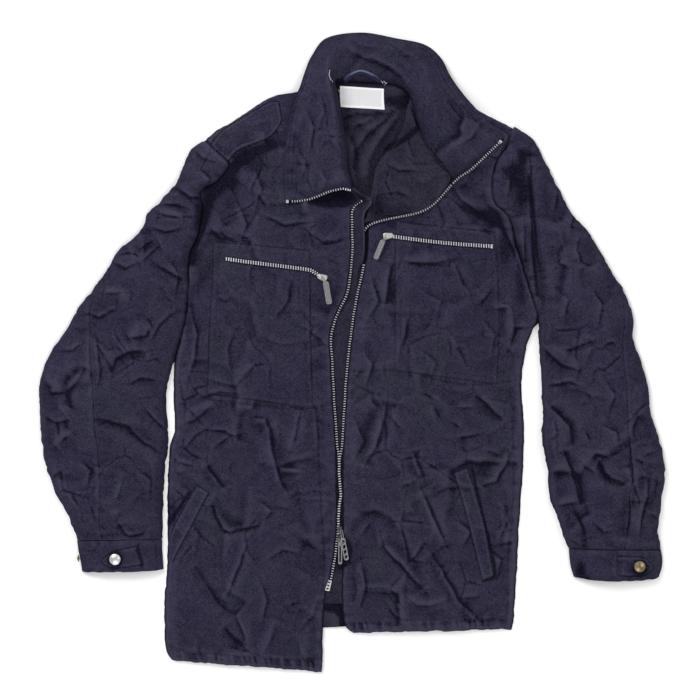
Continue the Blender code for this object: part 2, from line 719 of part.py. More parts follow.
def button(name, at, radius, height, turn, finish, where):
    """A snap fastener's round cap, its axis along +Z before `turn`."""
    work = bmesh.new()
    bmesh.ops.create_cone(work, cap_ends=True, segments=20, radius1=radius * MM,
                          radius2=0.82 * radius * MM, depth=height * MM)
    mesh = bpy.data.meshes.new(name)
    work.to_mesh(mesh)
    work.free()
    item = place(name, mesh, finish, where)
    item.location = Vector(at) * MM
    item.rotation_euler = turn
    return item


# ---------------------------------------------------------------- the jacket's pieces
def make_finishes():
    return {
        "cloth": material("navy_cotton", NAVY, 0.9),
        "inside": material("navy_cotton_inside", NAVY_INSIDE, 0.9),
        "teeth": material("zip_teeth", (0.42, 0.42, 0.43), 0.35, 1.0),
        "gunmetal": material("gunmetal", (0.10, 0.10, 0.11), 0.4, 1.0),
        "brass": material("aged_brass", (0.42, 0.31, 0.14), 0.4, 1.0),
        "nickel": material("nickel", (0.72, 0.72, 0.72), 0.25, 1.0),
        "white": material("label_white", (0.75, 0.75, 0.73), 0.8),
        "satin": material("loop_satin", (0.12, 0.12, 0.24), 0.45),
    }


def make_back(right, left, finish, where):
    """The back lies flat on the floor, from the neck and shoulders to the hem."""
    start = np.delete(right[:, 0], BACK_SKIPS, axis=0)[:-2]
    start, end = trimmed(start, left[:-2, 0], BACK_CUT, BACK_CUT)
    start = np.vstack([points(BACK_NECK, "left"), start, BACK_HEM[0]])
    end = np.vstack([points(BACK_NECK, "right"), end, BACK_HEM[1]])
    grid = span(start, end, np.linspace(0, 1, 5))
    grid[..., 2] = FLOOR
    return wall("back", grid, CLOTH, finish, where)


def make_sleeve(side, sizes, finish, where):
    top, under = sleeve_grids(sizes["sleeve"], sizes["sleeve_folds"], steps=2, top_count=8,
                              wrap_count=4, floor_count=2)
    wall("sleeve_under_" + side, under, CLOTH, finish, where)
    return wall("sleeve_top_" + side, top, CLOTH, finish, where)


def make_cuff(side, sizes, finish, metal, where):
    """A cuff with its tab, and the tab's snap."""
    ring = cuff_grid(sizes["cuff"], steps=1, top_count=12, floor_count=4)
    cuff = wall("cuff_" + side, ring, CLOTH, finish, where, ring=True)
    strap = laid_on(strip_grid(sizes["tab"], steps=2, count=4), surface([cuff]), PATCH / 2 + LIE)
    tab = wall("cuff_tab_" + side, strap, PATCH, finish, where)
    seat = top_height(surface([tab]), *sizes["snap"], SNAP_RADIUS * 0.8)
    button("snap_" + side, (*sizes["snap"], seat + GAP + SNAP_HEIGHT / 2), SNAP_RADIUS, SNAP_HEIGHT,
           (0, 0, 0), metal, where)


def make_stud(metal, where):
    """The half of a snap that the right cuff's tab would close on, at the cuff's fold."""
    fold = np.interp(-STUD_Y, -CUFF_RIGHT["outer_y"], CUFF_RIGHT["outer_x"])
    x = fold - CLOTH / 2 - GAP - SNAP_HEIGHT / 2
    button("snap_stud_right", (x, STUD_Y, STUD_RADIUS + GAP), STUD_RADIUS, SNAP_HEIGHT,
           (0, -math.pi / 2, 0), metal, where)


def make_epaulette(side, sizes, under, finish, where):
    strap = laid_on(strip_grid(sizes["epaulette"], steps=2, count=4), surface(under), PATCH / 2 + LIE)
    return wall("epaulette_" + side, strap, PATCH, finish, where)


def make_lapel(front, finish, where):
    """The left front's facing, turned out at the neck. Returns its grid."""
    fine = smooth(LAPEL, 2)
    shares = across(8)
    grid = span(points(fine, "roll"), points(fine, "far"), shares)
    grid[..., 2] += fine["crown"][:, None] * np.sin(math.pi * shares) ** ARCH
    grid = laid_on(grid, surface([front]), CLOTH / 2 + 2 * LIE)
    wall("lapel_left", grid, CLOTH, finish, where)
    return grid


def make_collar(under, finish, where):
    """The collar, its leaf laid on the pieces under it. Returns the piece and its grid."""
    stand_count = 4
    grid = collar_grid(COLLAR, 2, stand_count, leaf_count=5)
    leaf = slice(stand_count + 1, None)
    grid[:, leaf] = laid_on(grid[:, leaf], surface(under), COLLAR_CLOTH / 2 + 2 * LIE)
    return wall("collar", grid, COLLAR_CLOTH, finish, where), grid


def between(edge, heights):
    """The stretch of an edge between two places along the jacket."""
    return edge[(edge[:, 1] > heights[0]) & (edge[:, 1] < heights[1])]


def make_front_zip(right, left, lapel, collar, finish, where):
    """Both halves of the open zip, in a piece for each panel that they are sewn to."""
    halves = {
        "zip_right_front": edge_grid(between(right[:, -1], ZIP_RIGHT_Y), 1, CHAIN_WIDTH),
        "zip_left_front": edge_grid(between(left[:, -1], ZIP_LEFT_Y), -1, CHAIN_WIDTH),
        "zip_right_collar": edge_grid(collar[0, 1:], 1, CHAIN_WIDTH),
        "zip_left_collar": edge_grid(collar[-1], -1, CHAIN_WIDTH),
        "zip_left_lapel": edge_grid(lapel[LAPEL_ZIP_LINE:, -1], 1, CHAIN_WIDTH),
    }
    for name, grid in halves.items():
        wall(name, grid, CHAIN_THICK, finish, where)


def make_end_pin(right, finish, where):
    """The bare metal end of the zip's right half, below its last tooth."""
    width, length, thick = END_PIN
    edge = between(right[:, -1], (ZIP_RIGHT_Y[0] - length - GAP, ZIP_RIGHT_Y[0] + length))
    middle = edge + beside(edge, 1) * (EDGE_GAP + width / 2)
    y = ZIP_RIGHT_Y[0] - GAP - length / 2
    x, z = (np.interp(-y, -middle[:, 1], middle[:, axis]) for axis in (0, 2))
    outline = [(-width / 2, -thick / 2), (width / 2, -thick / 2),
               (width / 2, thick / 2), (-width / 2, thick / 2)]
    pin = prism("zip_end_pin", outline, length, "XZ", finish, where)
    pin.location = Vector((x, y, z)) * MM
    rise = middle[0] - middle[-1]
    pin.rotation_euler.z = -math.atan2(rise[0], rise[1])


def make_front_sliders(finish, where, helpers):
    """The front zip's two sliders, one for each way of opening it."""
    for name, (at, heading, shift) in SLIDERS_MAIN.items():
        bar = slider("slider_main_" + name, at, MAIN_SLIDER_UNDER, CHAIN_THICK + 2 * GAP, 0, heading,
                     shift, finish, where, helpers)
        pull("pull_main_" + name, bar, heading, 0, *MAIN_PULL, finish, where)


def make_chest(side, sizes, front, finishes, where, helpers):
    """A chest pocket with its zip, slider and pull, and the welt of the hand pocket below."""
    patch = strip_grid(sizes["pocket"], steps=4, count=9)
    patch = laid_on(patch, surface([front]), PATCH / 2 + POCKET_LIE, reach=5)
    pocket = wall("chest_pocket_" + side, patch, PATCH, finishes["cloth"], where)
    welt = laid_on(strip_grid(sizes["welt"], steps=4, count=3), surface([front]), PATCH / 2 + LIE)
    wall("welt_" + side, welt, PATCH, finishes["cloth"], where)
    carrier = surface([front, pocket])
    chain = line_grid(sizes["chest_zip"], 4, CLOSED_CHAIN_WIDTH)
    chain = laid_on(chain, carrier, CHAIN_THICK / 2 + LIE, reach=6)
    wall("chest_zip_" + side, chain, CHAIN_THICK, finishes["teeth"], where)
    seat = top_height(carrier, *sizes["slider"], 5) + LIE
    bar = slider("slider_chest_" + side, sizes["slider"], seat, 0, sizes["slider_heading"],
                 sizes["pull_heading"], (0, 0), finishes["gunmetal"], where, helpers)
    pull("pull_chest_" + side, bar, sizes["pull_heading"], 0, *CHEST_PULL, finishes["gunmetal"], where)


def make_neck_pieces(back, collar, finishes, where):
    """The label inside the back, and the hanger loop above it."""
    label = laid_on(strip_grid(LABEL, steps=1, count=3), surface([back]), PATCH / 2 + GAP)
    wall("label", label, PATCH, finishes["white"], where)
    loop = laid_on(strip_grid(LOOP, steps=3, count=2), surface([collar]), PATCH / 2 + LIE, reach=1)
    wall("hanger_loop", loop, PATCH, finishes["satin"], where)


def build():
    clear_scene()
    jacket = collection("deck_jacket")
    helpers = collection("helpers")
    finishes = make_finishes()
    cloth = finishes["cloth"]

    right = front_grid(FRONT_RIGHT, FRONT_RIGHT_FOLDS, steps=2, count=12)
    left = front_grid(FRONT_LEFT, FRONT_LEFT_FOLDS, steps=2, count=12)
    fronts = {"right": wall("front_right", right, CLOTH, cloth, jacket),
              "left": wall("front_left", left, CLOTH, cloth, jacket)}
    back = make_back(right[::2], left[::2], cloth, jacket)
    wall("zip_fly", strip_grid(FLY, steps=2, count=3), CLOTH, cloth, jacket)
    shoulders = []
    for side, sizes in SIDES.items():
        shoulders.append(make_sleeve(side, sizes, cloth, jacket))
        make_cuff(side, sizes, cloth, finishes[sizes["snap_metal"]], jacket)
    make_stud(finishes["brass"], jacket)
    for side, sizes in SIDES.items():
        shoulders.append(make_epaulette(side, sizes, [fronts[side]] + shoulders, cloth, jacket))

    lapel = make_lapel(fronts["left"], finishes["inside"], jacket)
    collar, lines = make_collar([*fronts.values(), *shoulders], cloth, jacket)
    make_front_zip(right, left, lapel, lines, finishes["teeth"], jacket)
    make_end_pin(right, finishes["nickel"], jacket)
    make_front_sliders(finishes["gunmetal"], jacket, helpers)
    for side, sizes in SIDES.items():
        make_chest(side, sizes, fronts[side], finishes, jacket, helpers)
    make_neck_pieces(back, collar, finishes, jacket)


build()
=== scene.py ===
# %% [markdown]
# # A deck jacket of dark cotton, laid out flat
# The real jacket is sewn from washed navy cotton. It lies on its back with the collar towards +Y
# and the wearer's left side towards +X, and its two-way zip is open from the neck almost down to
# the lower slider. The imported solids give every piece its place; this lesson dresses them with
# cloth that has creases, seams and thread, and with metal teeth, sliders and snaps.
# All tables are in millimetres, and heights count up from the surface that the jacket lies on.

# %% Load the solids as a fixed frame
import json
import math

import bpy
import numpy as np
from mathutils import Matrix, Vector
from mathutils.bvhtree import BVHTree


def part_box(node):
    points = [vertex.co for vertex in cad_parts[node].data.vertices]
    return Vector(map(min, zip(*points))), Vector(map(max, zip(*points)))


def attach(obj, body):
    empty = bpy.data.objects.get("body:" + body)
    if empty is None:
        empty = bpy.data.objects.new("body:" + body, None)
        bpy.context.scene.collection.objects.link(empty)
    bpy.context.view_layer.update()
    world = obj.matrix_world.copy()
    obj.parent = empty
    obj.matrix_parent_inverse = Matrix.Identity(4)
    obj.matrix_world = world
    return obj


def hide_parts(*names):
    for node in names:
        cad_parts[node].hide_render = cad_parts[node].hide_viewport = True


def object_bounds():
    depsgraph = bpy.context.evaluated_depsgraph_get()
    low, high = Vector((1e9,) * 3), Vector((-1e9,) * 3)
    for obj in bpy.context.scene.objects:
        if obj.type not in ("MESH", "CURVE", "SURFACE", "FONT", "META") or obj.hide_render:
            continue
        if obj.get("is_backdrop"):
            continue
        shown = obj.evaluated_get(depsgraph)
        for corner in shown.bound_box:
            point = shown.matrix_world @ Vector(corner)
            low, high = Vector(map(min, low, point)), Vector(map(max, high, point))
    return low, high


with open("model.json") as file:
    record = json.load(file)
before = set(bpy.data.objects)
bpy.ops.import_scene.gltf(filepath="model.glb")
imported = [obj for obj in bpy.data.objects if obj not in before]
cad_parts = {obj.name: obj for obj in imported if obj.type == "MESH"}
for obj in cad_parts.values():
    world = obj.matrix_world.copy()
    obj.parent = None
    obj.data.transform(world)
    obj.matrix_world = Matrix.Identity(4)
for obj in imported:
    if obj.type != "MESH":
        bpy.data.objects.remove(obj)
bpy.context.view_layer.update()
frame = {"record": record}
MM = 0.001

# %% [markdown]
# ## Tables of sections
# A panel of a garment is easiest to describe by a few cross sections, each with the two places
# where it begins and ends. A smooth curve runs through the rows, and a fine grid of points is
# stretched between the two ends. Sculpting would give the same shape but no sizes to read, so
# the panels are lofted from tables. The long tables are plain text with one row to a line.

# %% Read a table and run a smooth curve through it
CLOTH = 1.6             # thickness of the cotton with its turned seams
PATCH = 1.0             # one more layer sewn on
THREADS = 1.7    # spacing of the finest grids
ARCH = 0.6              # how full a front swells between its edges
SLEEVE_ARCH = 0.85
FLOOR = CLOTH / 2


def numbers(text):
    """A text of numbers as a list of rows, one row to a line."""
    return [[float(word) for word in line.split()] for line in text.strip().splitlines()]


def table(names, rows):
    """A table of sizes: one row to a section, read by the names of its columns."""
    rows = numbers(rows) if isinstance(rows, str) else rows
    return dict(zip(names.split(), np.array(rows, float).T))


def smooth(rows, steps):
    """The table's columns on a smooth curve through its rows, `steps` stretches to each pair."""
    values = np.array(list(rows.values())).T
    padded = np.vstack([2 * values[0] - values[1], values, 2 * values[-1] - values[-2]])
    fine = []
    for before, here, after, beyond in zip(padded, padded[1:], padded[2:], padded[3:]):
        for t in np.arange(steps) / steps:
            fine.append(0.5 * (2 * here + (after - before) * t
                               + (2 * before - 5 * here + 4 * after - beyond) * t ** 2
                               + (3 * here - before - 3 * after + beyond) * t ** 3))
    fine.append(values[-1])
    return dict(zip(rows, np.array(fine).T))


def points(rows, end):
    """The points of one named end of a table's rows; an end without a height lies at 0."""
    height = rows.get(end + "_z", np.zeros(len(rows[end + "_x"])))
    return np.stack([rows[end + "_x"], rows[end + "_y"], height], axis=-1)


def lengths(line):
    """How far along a line of points each of them lies."""
    return np.concatenate([[0], np.cumsum(np.linalg.norm(np.diff(line, axis=0), axis=1))])


def fine_rows(rows, ends, spacing):
    """The table on a smooth curve, its rows an even distance apart."""
    close = smooth(rows, 24)
    run = lengths(sum(points(close, end) for end in ends) / len(ends))
    places = np.linspace(0, run[-1], max(3, round(run[-1] / spacing) + 1))
    return {name: np.interp(places, run, column) for name, column in close.items()}


def span(start, end, shares):
    """A grid of points on straight lines between two edges."""
    shares = np.asarray(shares)[None, :, None]
    return start[:, None] * (1 - shares) + end[:, None] * shares


def even(width, spacing=THREADS):
    """Shares from 0 to 1 that lie about one spacing apart on a panel of this width."""
    return np.linspace(0, 1, max(3, round(width / spacing) + 1))


# %% [markdown]
# ## How washed cotton creases
# Cotton that was washed and laid down by hand shows three things at once: folds as long as a
# hand, which are in the solids too; crisp creases with a narrow dark trough and a soft swelling
# beside it; and a crumple of small facets all over. A cloth simulation gives folds of its own
# choosing, but these creases belong to this jacket, so they are laid from a table.
# The facets come from tilted planes that melt into each other, which looks more like crushed
# cotton than smooth noise does.

# %% Facets of crumpled cloth
CRUMPLE = ((78, 2.4), (36, 0.52), (16, 0.10))   # size of the facets, and their height
CRINKLES = ((66, 0.76), (33, 0.32), (18, 0.09))   # spacing of the fine valleys, and their depth
SHARPNESS = 15.0
TOWARDS_WINDOW = -0.8   # a crease drops on the side that faces away from the light


def scattered(i, j, kind):
    """A number from 0 to 1 for each whole-numbered place, the same on every run."""
    value = np.sin(i * 127.1 + j * 311.7 + kind * 74.7) * 43758.5453
    return value - np.floor(value)


def facets(x, y, size, kind):
    """Heights from about -1 to 1 of tilted planes about `size` across."""
    x, y = x / size, y / size
    cell_x, cell_y = np.floor(x), np.floor(y)
    total, weight = 0.0, 0.0
    for step_x in (-1, 0, 1):
        for step_y in (-1, 0, 1):
            i, j = cell_x + step_x, cell_y + step_y
            off_x = x - i - scattered(i, j, kind + 1)
            off_y = y - j - scattered(i, j, kind + 2)
            near = np.exp(-SHARPNESS * (off_x ** 2 + off_y ** 2))
            level, tilt_x, tilt_y = (scattered(i, j, kind + part) - 0.5 for part in (3, 4, 5))
            total = total + near * (1.2 * level + 2.8 * tilt_x * off_x + 2.8 * tilt_y * off_y)
            weight = weight + near
    return total / weight


def borders(x, y, size, kind):
    """Roughly how many millimetres away the nearest border between two facets is."""
    x, y = x / size, y / size
    cell_x, cell_y = np.floor(x), np.floor(y)
    nearest = np.full(np.shape(x), 9.0)
    second = nearest.copy()
    for step_x in (-1, 0, 1):
        for step_y in (-1, 0, 1):
            i, j = cell_x + step_x, cell_y + step_y
            away = np.hypot(x - i - scattered(i, j, kind + 1), y - j - scattered(i, j, kind + 2))
            second = np.minimum(second, np.maximum(nearest, away))
            nearest = np.minimum(nearest, away)
    return 0.6 * size * (second - nearest)


def valleys(x, y, size, kind):
    """Narrow straight valleys down to -1 between facets, shown in some places only."""
    away = borders(x, y, size, kind)
    shown = np.clip(2.2 * facets(x, y, 0.9 * size, kind + 7) - 0.1, 0, 1)
    return shown * (0.3 * np.exp(-((away - 4.5) / 3.2) ** 2) - np.exp(-(away / 1.5) ** 1.3))


def crumpled(x, y):
    """Height of the crumple at places on the cloth, which lies smoother at the right hem."""
    bent_x = x + 9 * facets(x, y, 58, 40)
    bent_y = y + 9 * facets(x, y, 58, 60)
    height = sum(rise * facets(bent_x, bent_y, size, size) for size, rise in CRUMPLE)
    height = height + sum(depth * valleys(bent_x, bent_y, size, size) for size, depth in CRINKLES)
    return height * (1 - 0.45 * np.exp(-((x + 150) / 120) ** 2 - ((y + 360) / 100) ** 2))


print("crumple at the middle:", round(float(crumpled(np.array(3.0), np.array(5.0))), 2), "mm")

# %% Distance from a line drawn on the cloth
def curve(path, spacing=4.0):
    """Points an even distance apart on a smooth curve through a few places."""
    close = smooth(table("x y", path), 12)
    line = np.stack([close["x"], close["y"]], axis=-1)
    run = lengths(line)
    places = np.linspace(0, run[-1], max(2, round(run[-1] / spacing) + 1))
    return np.stack([np.interp(places, run, line[:, axis]) for axis in (0, 1)], axis=-1)


def beside(x, y, line, reach):
    """Which points lie near a line, their distance to its left, and how far along it they are."""
    low, high = line.min(axis=0) - reach, line.max(axis=0) + reach
    near = np.nonzero((x > low[0]) & (x < high[0]) & (y > low[1]) & (y < high[1]))
    px, py = x[near], y[near]
    best = np.full(px.shape, np.inf)
    away, along = np.zeros(px.shape), np.zeros(px.shape)
    run = lengths(line)
    for (ax, ay), (bx, by), so_far, after in zip(line, line[1:], run, run[1:]):
        step_x, step_y = bx - ax, by - ay
        length = max(after - so_far, 1e-9)
        share = np.clip(((px - ax) * step_x + (py - ay) * step_y) / length ** 2, 0, 1)
        off_x, off_y = px - ax - share * step_x, py - ay - share * step_y
        distance = np.hypot(off_x, off_y)
        closer = distance < best
        side = np.where(step_x * off_y - step_y * off_x < 0, -1, 1)
        best = np.where(closer, distance, best)
        away = np.where(closer, side * distance, away)
        along = np.where(closer, so_far + share * length, along)
    return near, away, along, run[-1]


def ripple(along, spacing, kind=0):
    """Uneven ripples from -1 to 1 along a seam, as thread draws the cloth up."""
    place = along / spacing
    cell = np.floor(place)
    share = place - cell
    share = share * share * (3 - 2 * share)
    here, after = scattered(cell, 7.0, kind), scattered(cell + 1, 7.0, kind)
    return 2 * (here + (after - here) * share) - 1


def wavering(line, kind, reach=0.55):
    """An edge that wavers a little on the plane, as a washed seam does."""
    run = lengths(line)
    ahead = np.gradient(line[:, :2], axis=0)
    ahead /= np.maximum(np.linalg.norm(ahead, axis=1), 1e-9)[:, None]
    aside = reach * (ripple(run, 9, kind) + 0.6 * ripple(run, 4.2, kind + 1) + ripple(run, 25, kind + 2))
    line = line.copy()
    line[:, 0] -= ahead[:, 1] * aside
    line[:, 1] += ahead[:, 0] * aside
    return line


# %% Folds, creases and sewn lines
def crease_table(text):
    """Creases, one to a line: how far each reaches, its height, and the places on its way."""
    return [(reach, rise, list(zip(way[::2], way[1::2]))) for reach, rise, *way in numbers(text)]


def folded(grid, folds, hold):
    """The long folds that the solids have too, pressed into a grid."""
    for start_x, start_y, end_x, end_y, bow, width, height in folds:
        run = np.array([end_x - start_x, end_y - start_y], float)
        length = np.linalg.norm(run)
        run /= length
        offset = grid[..., :2] - (start_x, start_y)
        along = np.clip(offset @ run / length, 0, 1)
        aside = offset @ np.array([-run[1], run[0]]) - 4 * bow * along * (1 - along)
        fade = np.sqrt(np.sin(math.pi * along))
        grid[..., 2] += height * hold * fade * np.exp(-(aside / width) ** 2)
    return grid


def kinked(path, kind):
    """The line of a crease: nearly straight stretches that meet in slight corners."""
    places = np.array(path, float)
    line = np.insert(places, range(1, len(places)), (places[1:] + places[:-1]) / 2, axis=0)
    line[1:-1] += 2.4 * (scattered(line[1:-1], 5.0, kind) - 0.5)
    return line


def creased(x, y, creases):
    """Height of crisp creases: a long slope up to the line, a short drop, and a slope back."""
    height = np.zeros(x.shape)
    for number, (width, rise, path) in enumerate(creases):
        line = kinked(path, number)
        near, away, along, length = beside(x, y, line, 5 * width)
        ahead = line[-1] - line[0]
        away *= 1 if ahead[0] - ahead[1] * TOWARDS_WINDOW > 0 else -1
        fade = np.sin(math.pi * np.clip(along / length, 0.02, 0.98)) ** 0.6
        far = np.abs(away)
        lit = 0.62 * np.exp(-far / (1.8 * width)) * np.tanh(far / 2.2)
        shade = -0.6 * np.exp(-far / (1.2 * width)) * np.tanh(far / 1.1)
        height[near] += rise * fade * np.where(away > 0, lit, shade)
    return height


def sewn(x, y, lines, depth=0.55, pucker=0.4, reach=9.0):
    """Height beside sewn lines: a fine groove, with puckers that die out away from it."""
    height = np.zeros(x.shape)
    for number, line in enumerate(lines):
        near, away, along, length = beside(x, y, line, 2 * reach)
        inside = np.clip(np.minimum(along, length - along) / 4, 0, 1)
        drawn = pucker * ripple(along, 5.5, number) * np.exp(-(away / reach) ** 2)
        height[near] += drawn * inside - depth * inside * np.exp(-(away / 1.3) ** 2)
    return height

# %% [markdown]
# ## Finishes
# Dyed cotton is never one colour: single threads take the dye unevenly and washing fades what
# stands proud, while hollows and creases are painted darker as painted shade. One group of nodes
# gives that tone and another the threads of the weave, and every cloth uses both with its own
# values. The metal pieces share a third group, for the dull film and fine scratches of used metal.
# Every sheet of cloth carries two attributes for these groups: `grain`, its place along and across
# the threads in metres, and `wear_and_shade`, from 0 for painted shade in a hollow to 1 on a faded
# proud crease.

# %% Nodes, links and groups
def put(tree, kind, inputs=None, **settings):
    """Adds a shader node; its inputs are values or the outputs of other nodes."""
    made = tree.nodes.new(kind)
    for name, value in settings.items():
        setattr(made, name, value)
    for name, value in (inputs or {}).items():
        if isinstance(value, bpy.types.NodeSocket):
            tree.links.new(value, made.inputs[name])
        else:
            made.inputs[name].default_value = value
    return made


def sums(tree, operation, first, second=0.0, third=0.0):
    """One step of arithmetic between values."""
    made = put(tree, "ShaderNodeMath", {0: first, 1: second, 2: third}, operation=operation)
    return made.outputs[0]


def blend_colours(tree, share, first, second):
    """A colour between two others."""
    made = put(tree, "ShaderNodeMix", {0: share, 6: first, 7: second}, data_type="RGBA")
    return made.outputs[2]


def new_finish(name):
    """An empty material; returns it with its tree of nodes and its shader."""
    made = bpy.data.materials.new(name)
    made.use_nodes = True
    return made, made.node_tree, made.node_tree.nodes["Principled BSDF"]


def effect(name, inputs, outputs):
    """An empty group with named inputs and outputs; returns it with its two end nodes."""
    group = bpy.data.node_groups.new(name, "ShaderNodeTree")
    for label, kind, value in inputs:
        socket = group.interface.new_socket(label, in_out="INPUT", socket_type="NodeSocket" + kind)
        if value is not None:
            socket.default_value = value
    for label, kind in outputs:
        group.interface.new_socket(label, in_out="OUTPUT", socket_type="NodeSocket" + kind)
    return group, group.nodes.new("NodeGroupInput"), group.nodes.new("NodeGroupOutput")


# %% The tone of washed cotton
def make_tone():
    """Colour and roughness of dyed threads: painted shade where `Wear_and_shade` is low, faded where it is
    high.
    """
    group, start, end = effect("washed_and_shaded_tone", [
        ("Place", "Vector", None), ("Wear_and_shade", "Float", 0.5), ("Mottle", "Float", 1.0),
        ("Shade", "Color", (0, 0, 0, 1)), ("Cloth", "Color", (0.1, 0.1, 0.1, 1)),
        ("Aged", "Color", (0.1, 0.1, 0.1, 1)), ("Faded", "Color", (0.2, 0.2, 0.2, 1))],
        [("Colour", "Color"), ("Rough", "Float")])
    grain = start.outputs["Place"]

    def noise(scale, detail, stretch=(1, 1, 1)):
        place = put(group, "ShaderNodeMapping", {"Vector": grain, "Scale": stretch}).outputs[0]
        return put(group, "ShaderNodeTexNoise", {"Vector": place, "Scale": scale, "Detail": detail,
                                                 "Roughness": 0.65}).outputs[0]

    specks, clouds, patches = noise(750, 3), noise(26, 3), noise(13, 2)
    uneven = sums(group, "MULTIPLY_ADD", specks, 1.8, -0.9)
    for threads in (noise(1100, 1, (1.0, 0.2, 1.0)), noise(1100, 1, (0.2, 1.0, 1.0))):
        uneven = sums(group, "ADD", uneven, sums(group, "MULTIPLY_ADD", threads, 0.5, -0.25))
    uneven = sums(group, "ADD", uneven, sums(group, "MULTIPLY_ADD", clouds, 0.45, -0.225))
    uneven = sums(group, "MULTIPLY", uneven, start.outputs["Mottle"])
    level = sums(group, "ADD", uneven, start.outputs["Wear_and_shade"])
    low = put(group, "ShaderNodeClamp", {0: sums(group, "MULTIPLY", level, 2.0)}).outputs[0]
    high = put(group, "ShaderNodeClamp", {0: sums(group, "MULTIPLY_ADD", level, 2.0, -1.0)}).outputs[0]
    old = put(group, "ShaderNodeClamp", {0: sums(group, "MULTIPLY_ADD", patches, 3.6, -1.55)}).outputs[0]
    cloth = blend_colours(group, old, start.outputs["Cloth"], start.outputs["Aged"])
    # Low Wear_and_shade blends towards Shade, the painted shade of hollows and creases.
    colour = blend_colours(group, low, start.outputs["Shade"], cloth)
    colour = blend_colours(group, high, colour, start.outputs["Faded"])
    group.links.new(colour, end.inputs["Colour"])
    group.links.new(sums(group, "MULTIPLY_ADD", specks, 0.16, 0.76), end.inputs["Rough"])
    return group


TONE = make_tone()

# %% The threads of a weave
def make_weave():
    """Height from 0 to 1 of a weave whose threads lie `Thread` metres apart."""
    group, start, end = effect("weave_threads", [
        ("Grain", "Vector", None), ("Thread", "Float", 0.0007), ("Slub", "Float", 0.4)],
        [("Height", "Float")])
    parts = put(group, "ShaderNodeSeparateXYZ", {0: start.outputs["Grain"]})
    turns = sums(group, "DIVIDE", math.pi, start.outputs["Thread"])
    warp = sums(group, "SINE", sums(group, "MULTIPLY", parts.outputs[0], turns))
    weft = sums(group, "SINE", sums(group, "MULTIPLY", parts.outputs[1], turns))
    crossing = sums(group, "MULTIPLY_ADD", sums(group, "MULTIPLY", warp, weft), 0.25, 0.5)
    slub = put(group, "ShaderNodeTexNoise", {"Vector": start.outputs["Grain"], "Scale": 620,
                                             "Detail": 4, "Roughness": 0.7}).outputs[0]
    height = put(group, "ShaderNodeMix", {0: start.outputs["Slub"], 2: crossing, 3: slub})
    group.links.new(height.outputs[0], end.inputs["Height"])
    return group


WEAVE = make_weave()

# %% Cloths made of the two groups
RELIEF = 0.00022        # metres that the threads stand proud


def cloth_finish(name, shade, cloth, faded, aged=None, thread=0.0007, mottle=1.0, rough=0.0):
    """A cloth: its painted-shade, usual and faded colours, and the distance between its threads."""
    made, tree, shader = new_finish(name)
    grain = put(tree, "ShaderNodeAttribute", attribute_name="grain").outputs["Vector"]
    wear_and_shade = put(tree, "ShaderNodeAttribute", attribute_name="wear_and_shade").outputs["Fac"]
    tone = put(tree, "ShaderNodeGroup", node_tree=TONE)
    place = put(tree, "ShaderNodeTexCoord").outputs["Object"]
    for label, value in (("Place", place), ("Wear_and_shade", wear_and_shade)):
        tree.links.new(value, tone.inputs[label])
    for label, value in (("Shade", shade), ("Cloth", cloth), ("Aged", aged or cloth), ("Faded", faded)):
        tone.inputs[label].default_value = (*value, 1)
    tone.inputs["Mottle"].default_value = mottle
    weave = put(tree, "ShaderNodeGroup", node_tree=WEAVE)
    tree.links.new(grain, weave.inputs["Grain"])
    weave.inputs["Thread"].default_value = thread
    bump = put(tree, "ShaderNodeBump", {"Height": weave.outputs["Height"], "Strength": 1.0,
                                        "Distance": RELIEF})
    tree.links.new(tone.outputs["Colour"], shader.inputs["Base Color"])
    tree.links.new(sums(tree, "ADD", tone.outputs["Rough"], rough), shader.inputs["Roughness"])
    tree.links.new(bump.outputs[0], shader.inputs["Normal"])
    shader.inputs["Specular IOR Level"].default_value = 0.04
    shader.inputs["Sheen Weight"].default_value = 0.012
    shader.inputs["Sheen Roughness"].default_value = 0.5
    shader.inputs["Sheen Tint"].default_value = (0.75, 0.78, 1.0, 1)
    made.diffuse_color = (*cloth, 1)
    return made


# Each cloth's first colour is its painted shade, shown where wear_and_shade is low.
NAVY = cloth_finish("washed_navy", (0.0028, 0.0023, 0.0068), (0.0223, 0.0191, 0.0410),
                    (0.0430, 0.0400, 0.0670), (0.0182, 0.0192, 0.0322), mottle=1.2)
INSIDE = cloth_finish("navy_inside", (0.0030, 0.0027, 0.0062), (0.0185, 0.0165, 0.0310),
                      (0.037, 0.035, 0.053), (0.0170, 0.0172, 0.0262), mottle=1.25)
# The tape is near-black, darker than the navy cloth: partly its own colour and partly painted shade for the
# gaps between the teeth.
TAPE = cloth_finish("zip_tape", (0.002, 0.002, 0.004), (0.004, 0.004, 0.007), (0.009, 0.009, 0.014),
                    thread=0.0009)
WHITE = cloth_finish("white_tape", (0.42, 0.42, 0.42), (0.61, 0.61, 0.62), (0.80, 0.80, 0.81),
                     thread=0.0005, mottle=0.3)
# The satin's pale colour serves only as the painted highlight on the loop's upper edge.
SATIN = cloth_finish("blue_satin", (0.012, 0.012, 0.030), (0.024, 0.024, 0.056), (0.100, 0.108, 0.165),
                     thread=0.0004, mottle=0.4, rough=-0.4)
THREAD = cloth_finish("navy_thread", (0.014, 0.013, 0.024), (0.034, 0.032, 0.054),
                      (0.070, 0.067, 0.095), thread=0.0003)

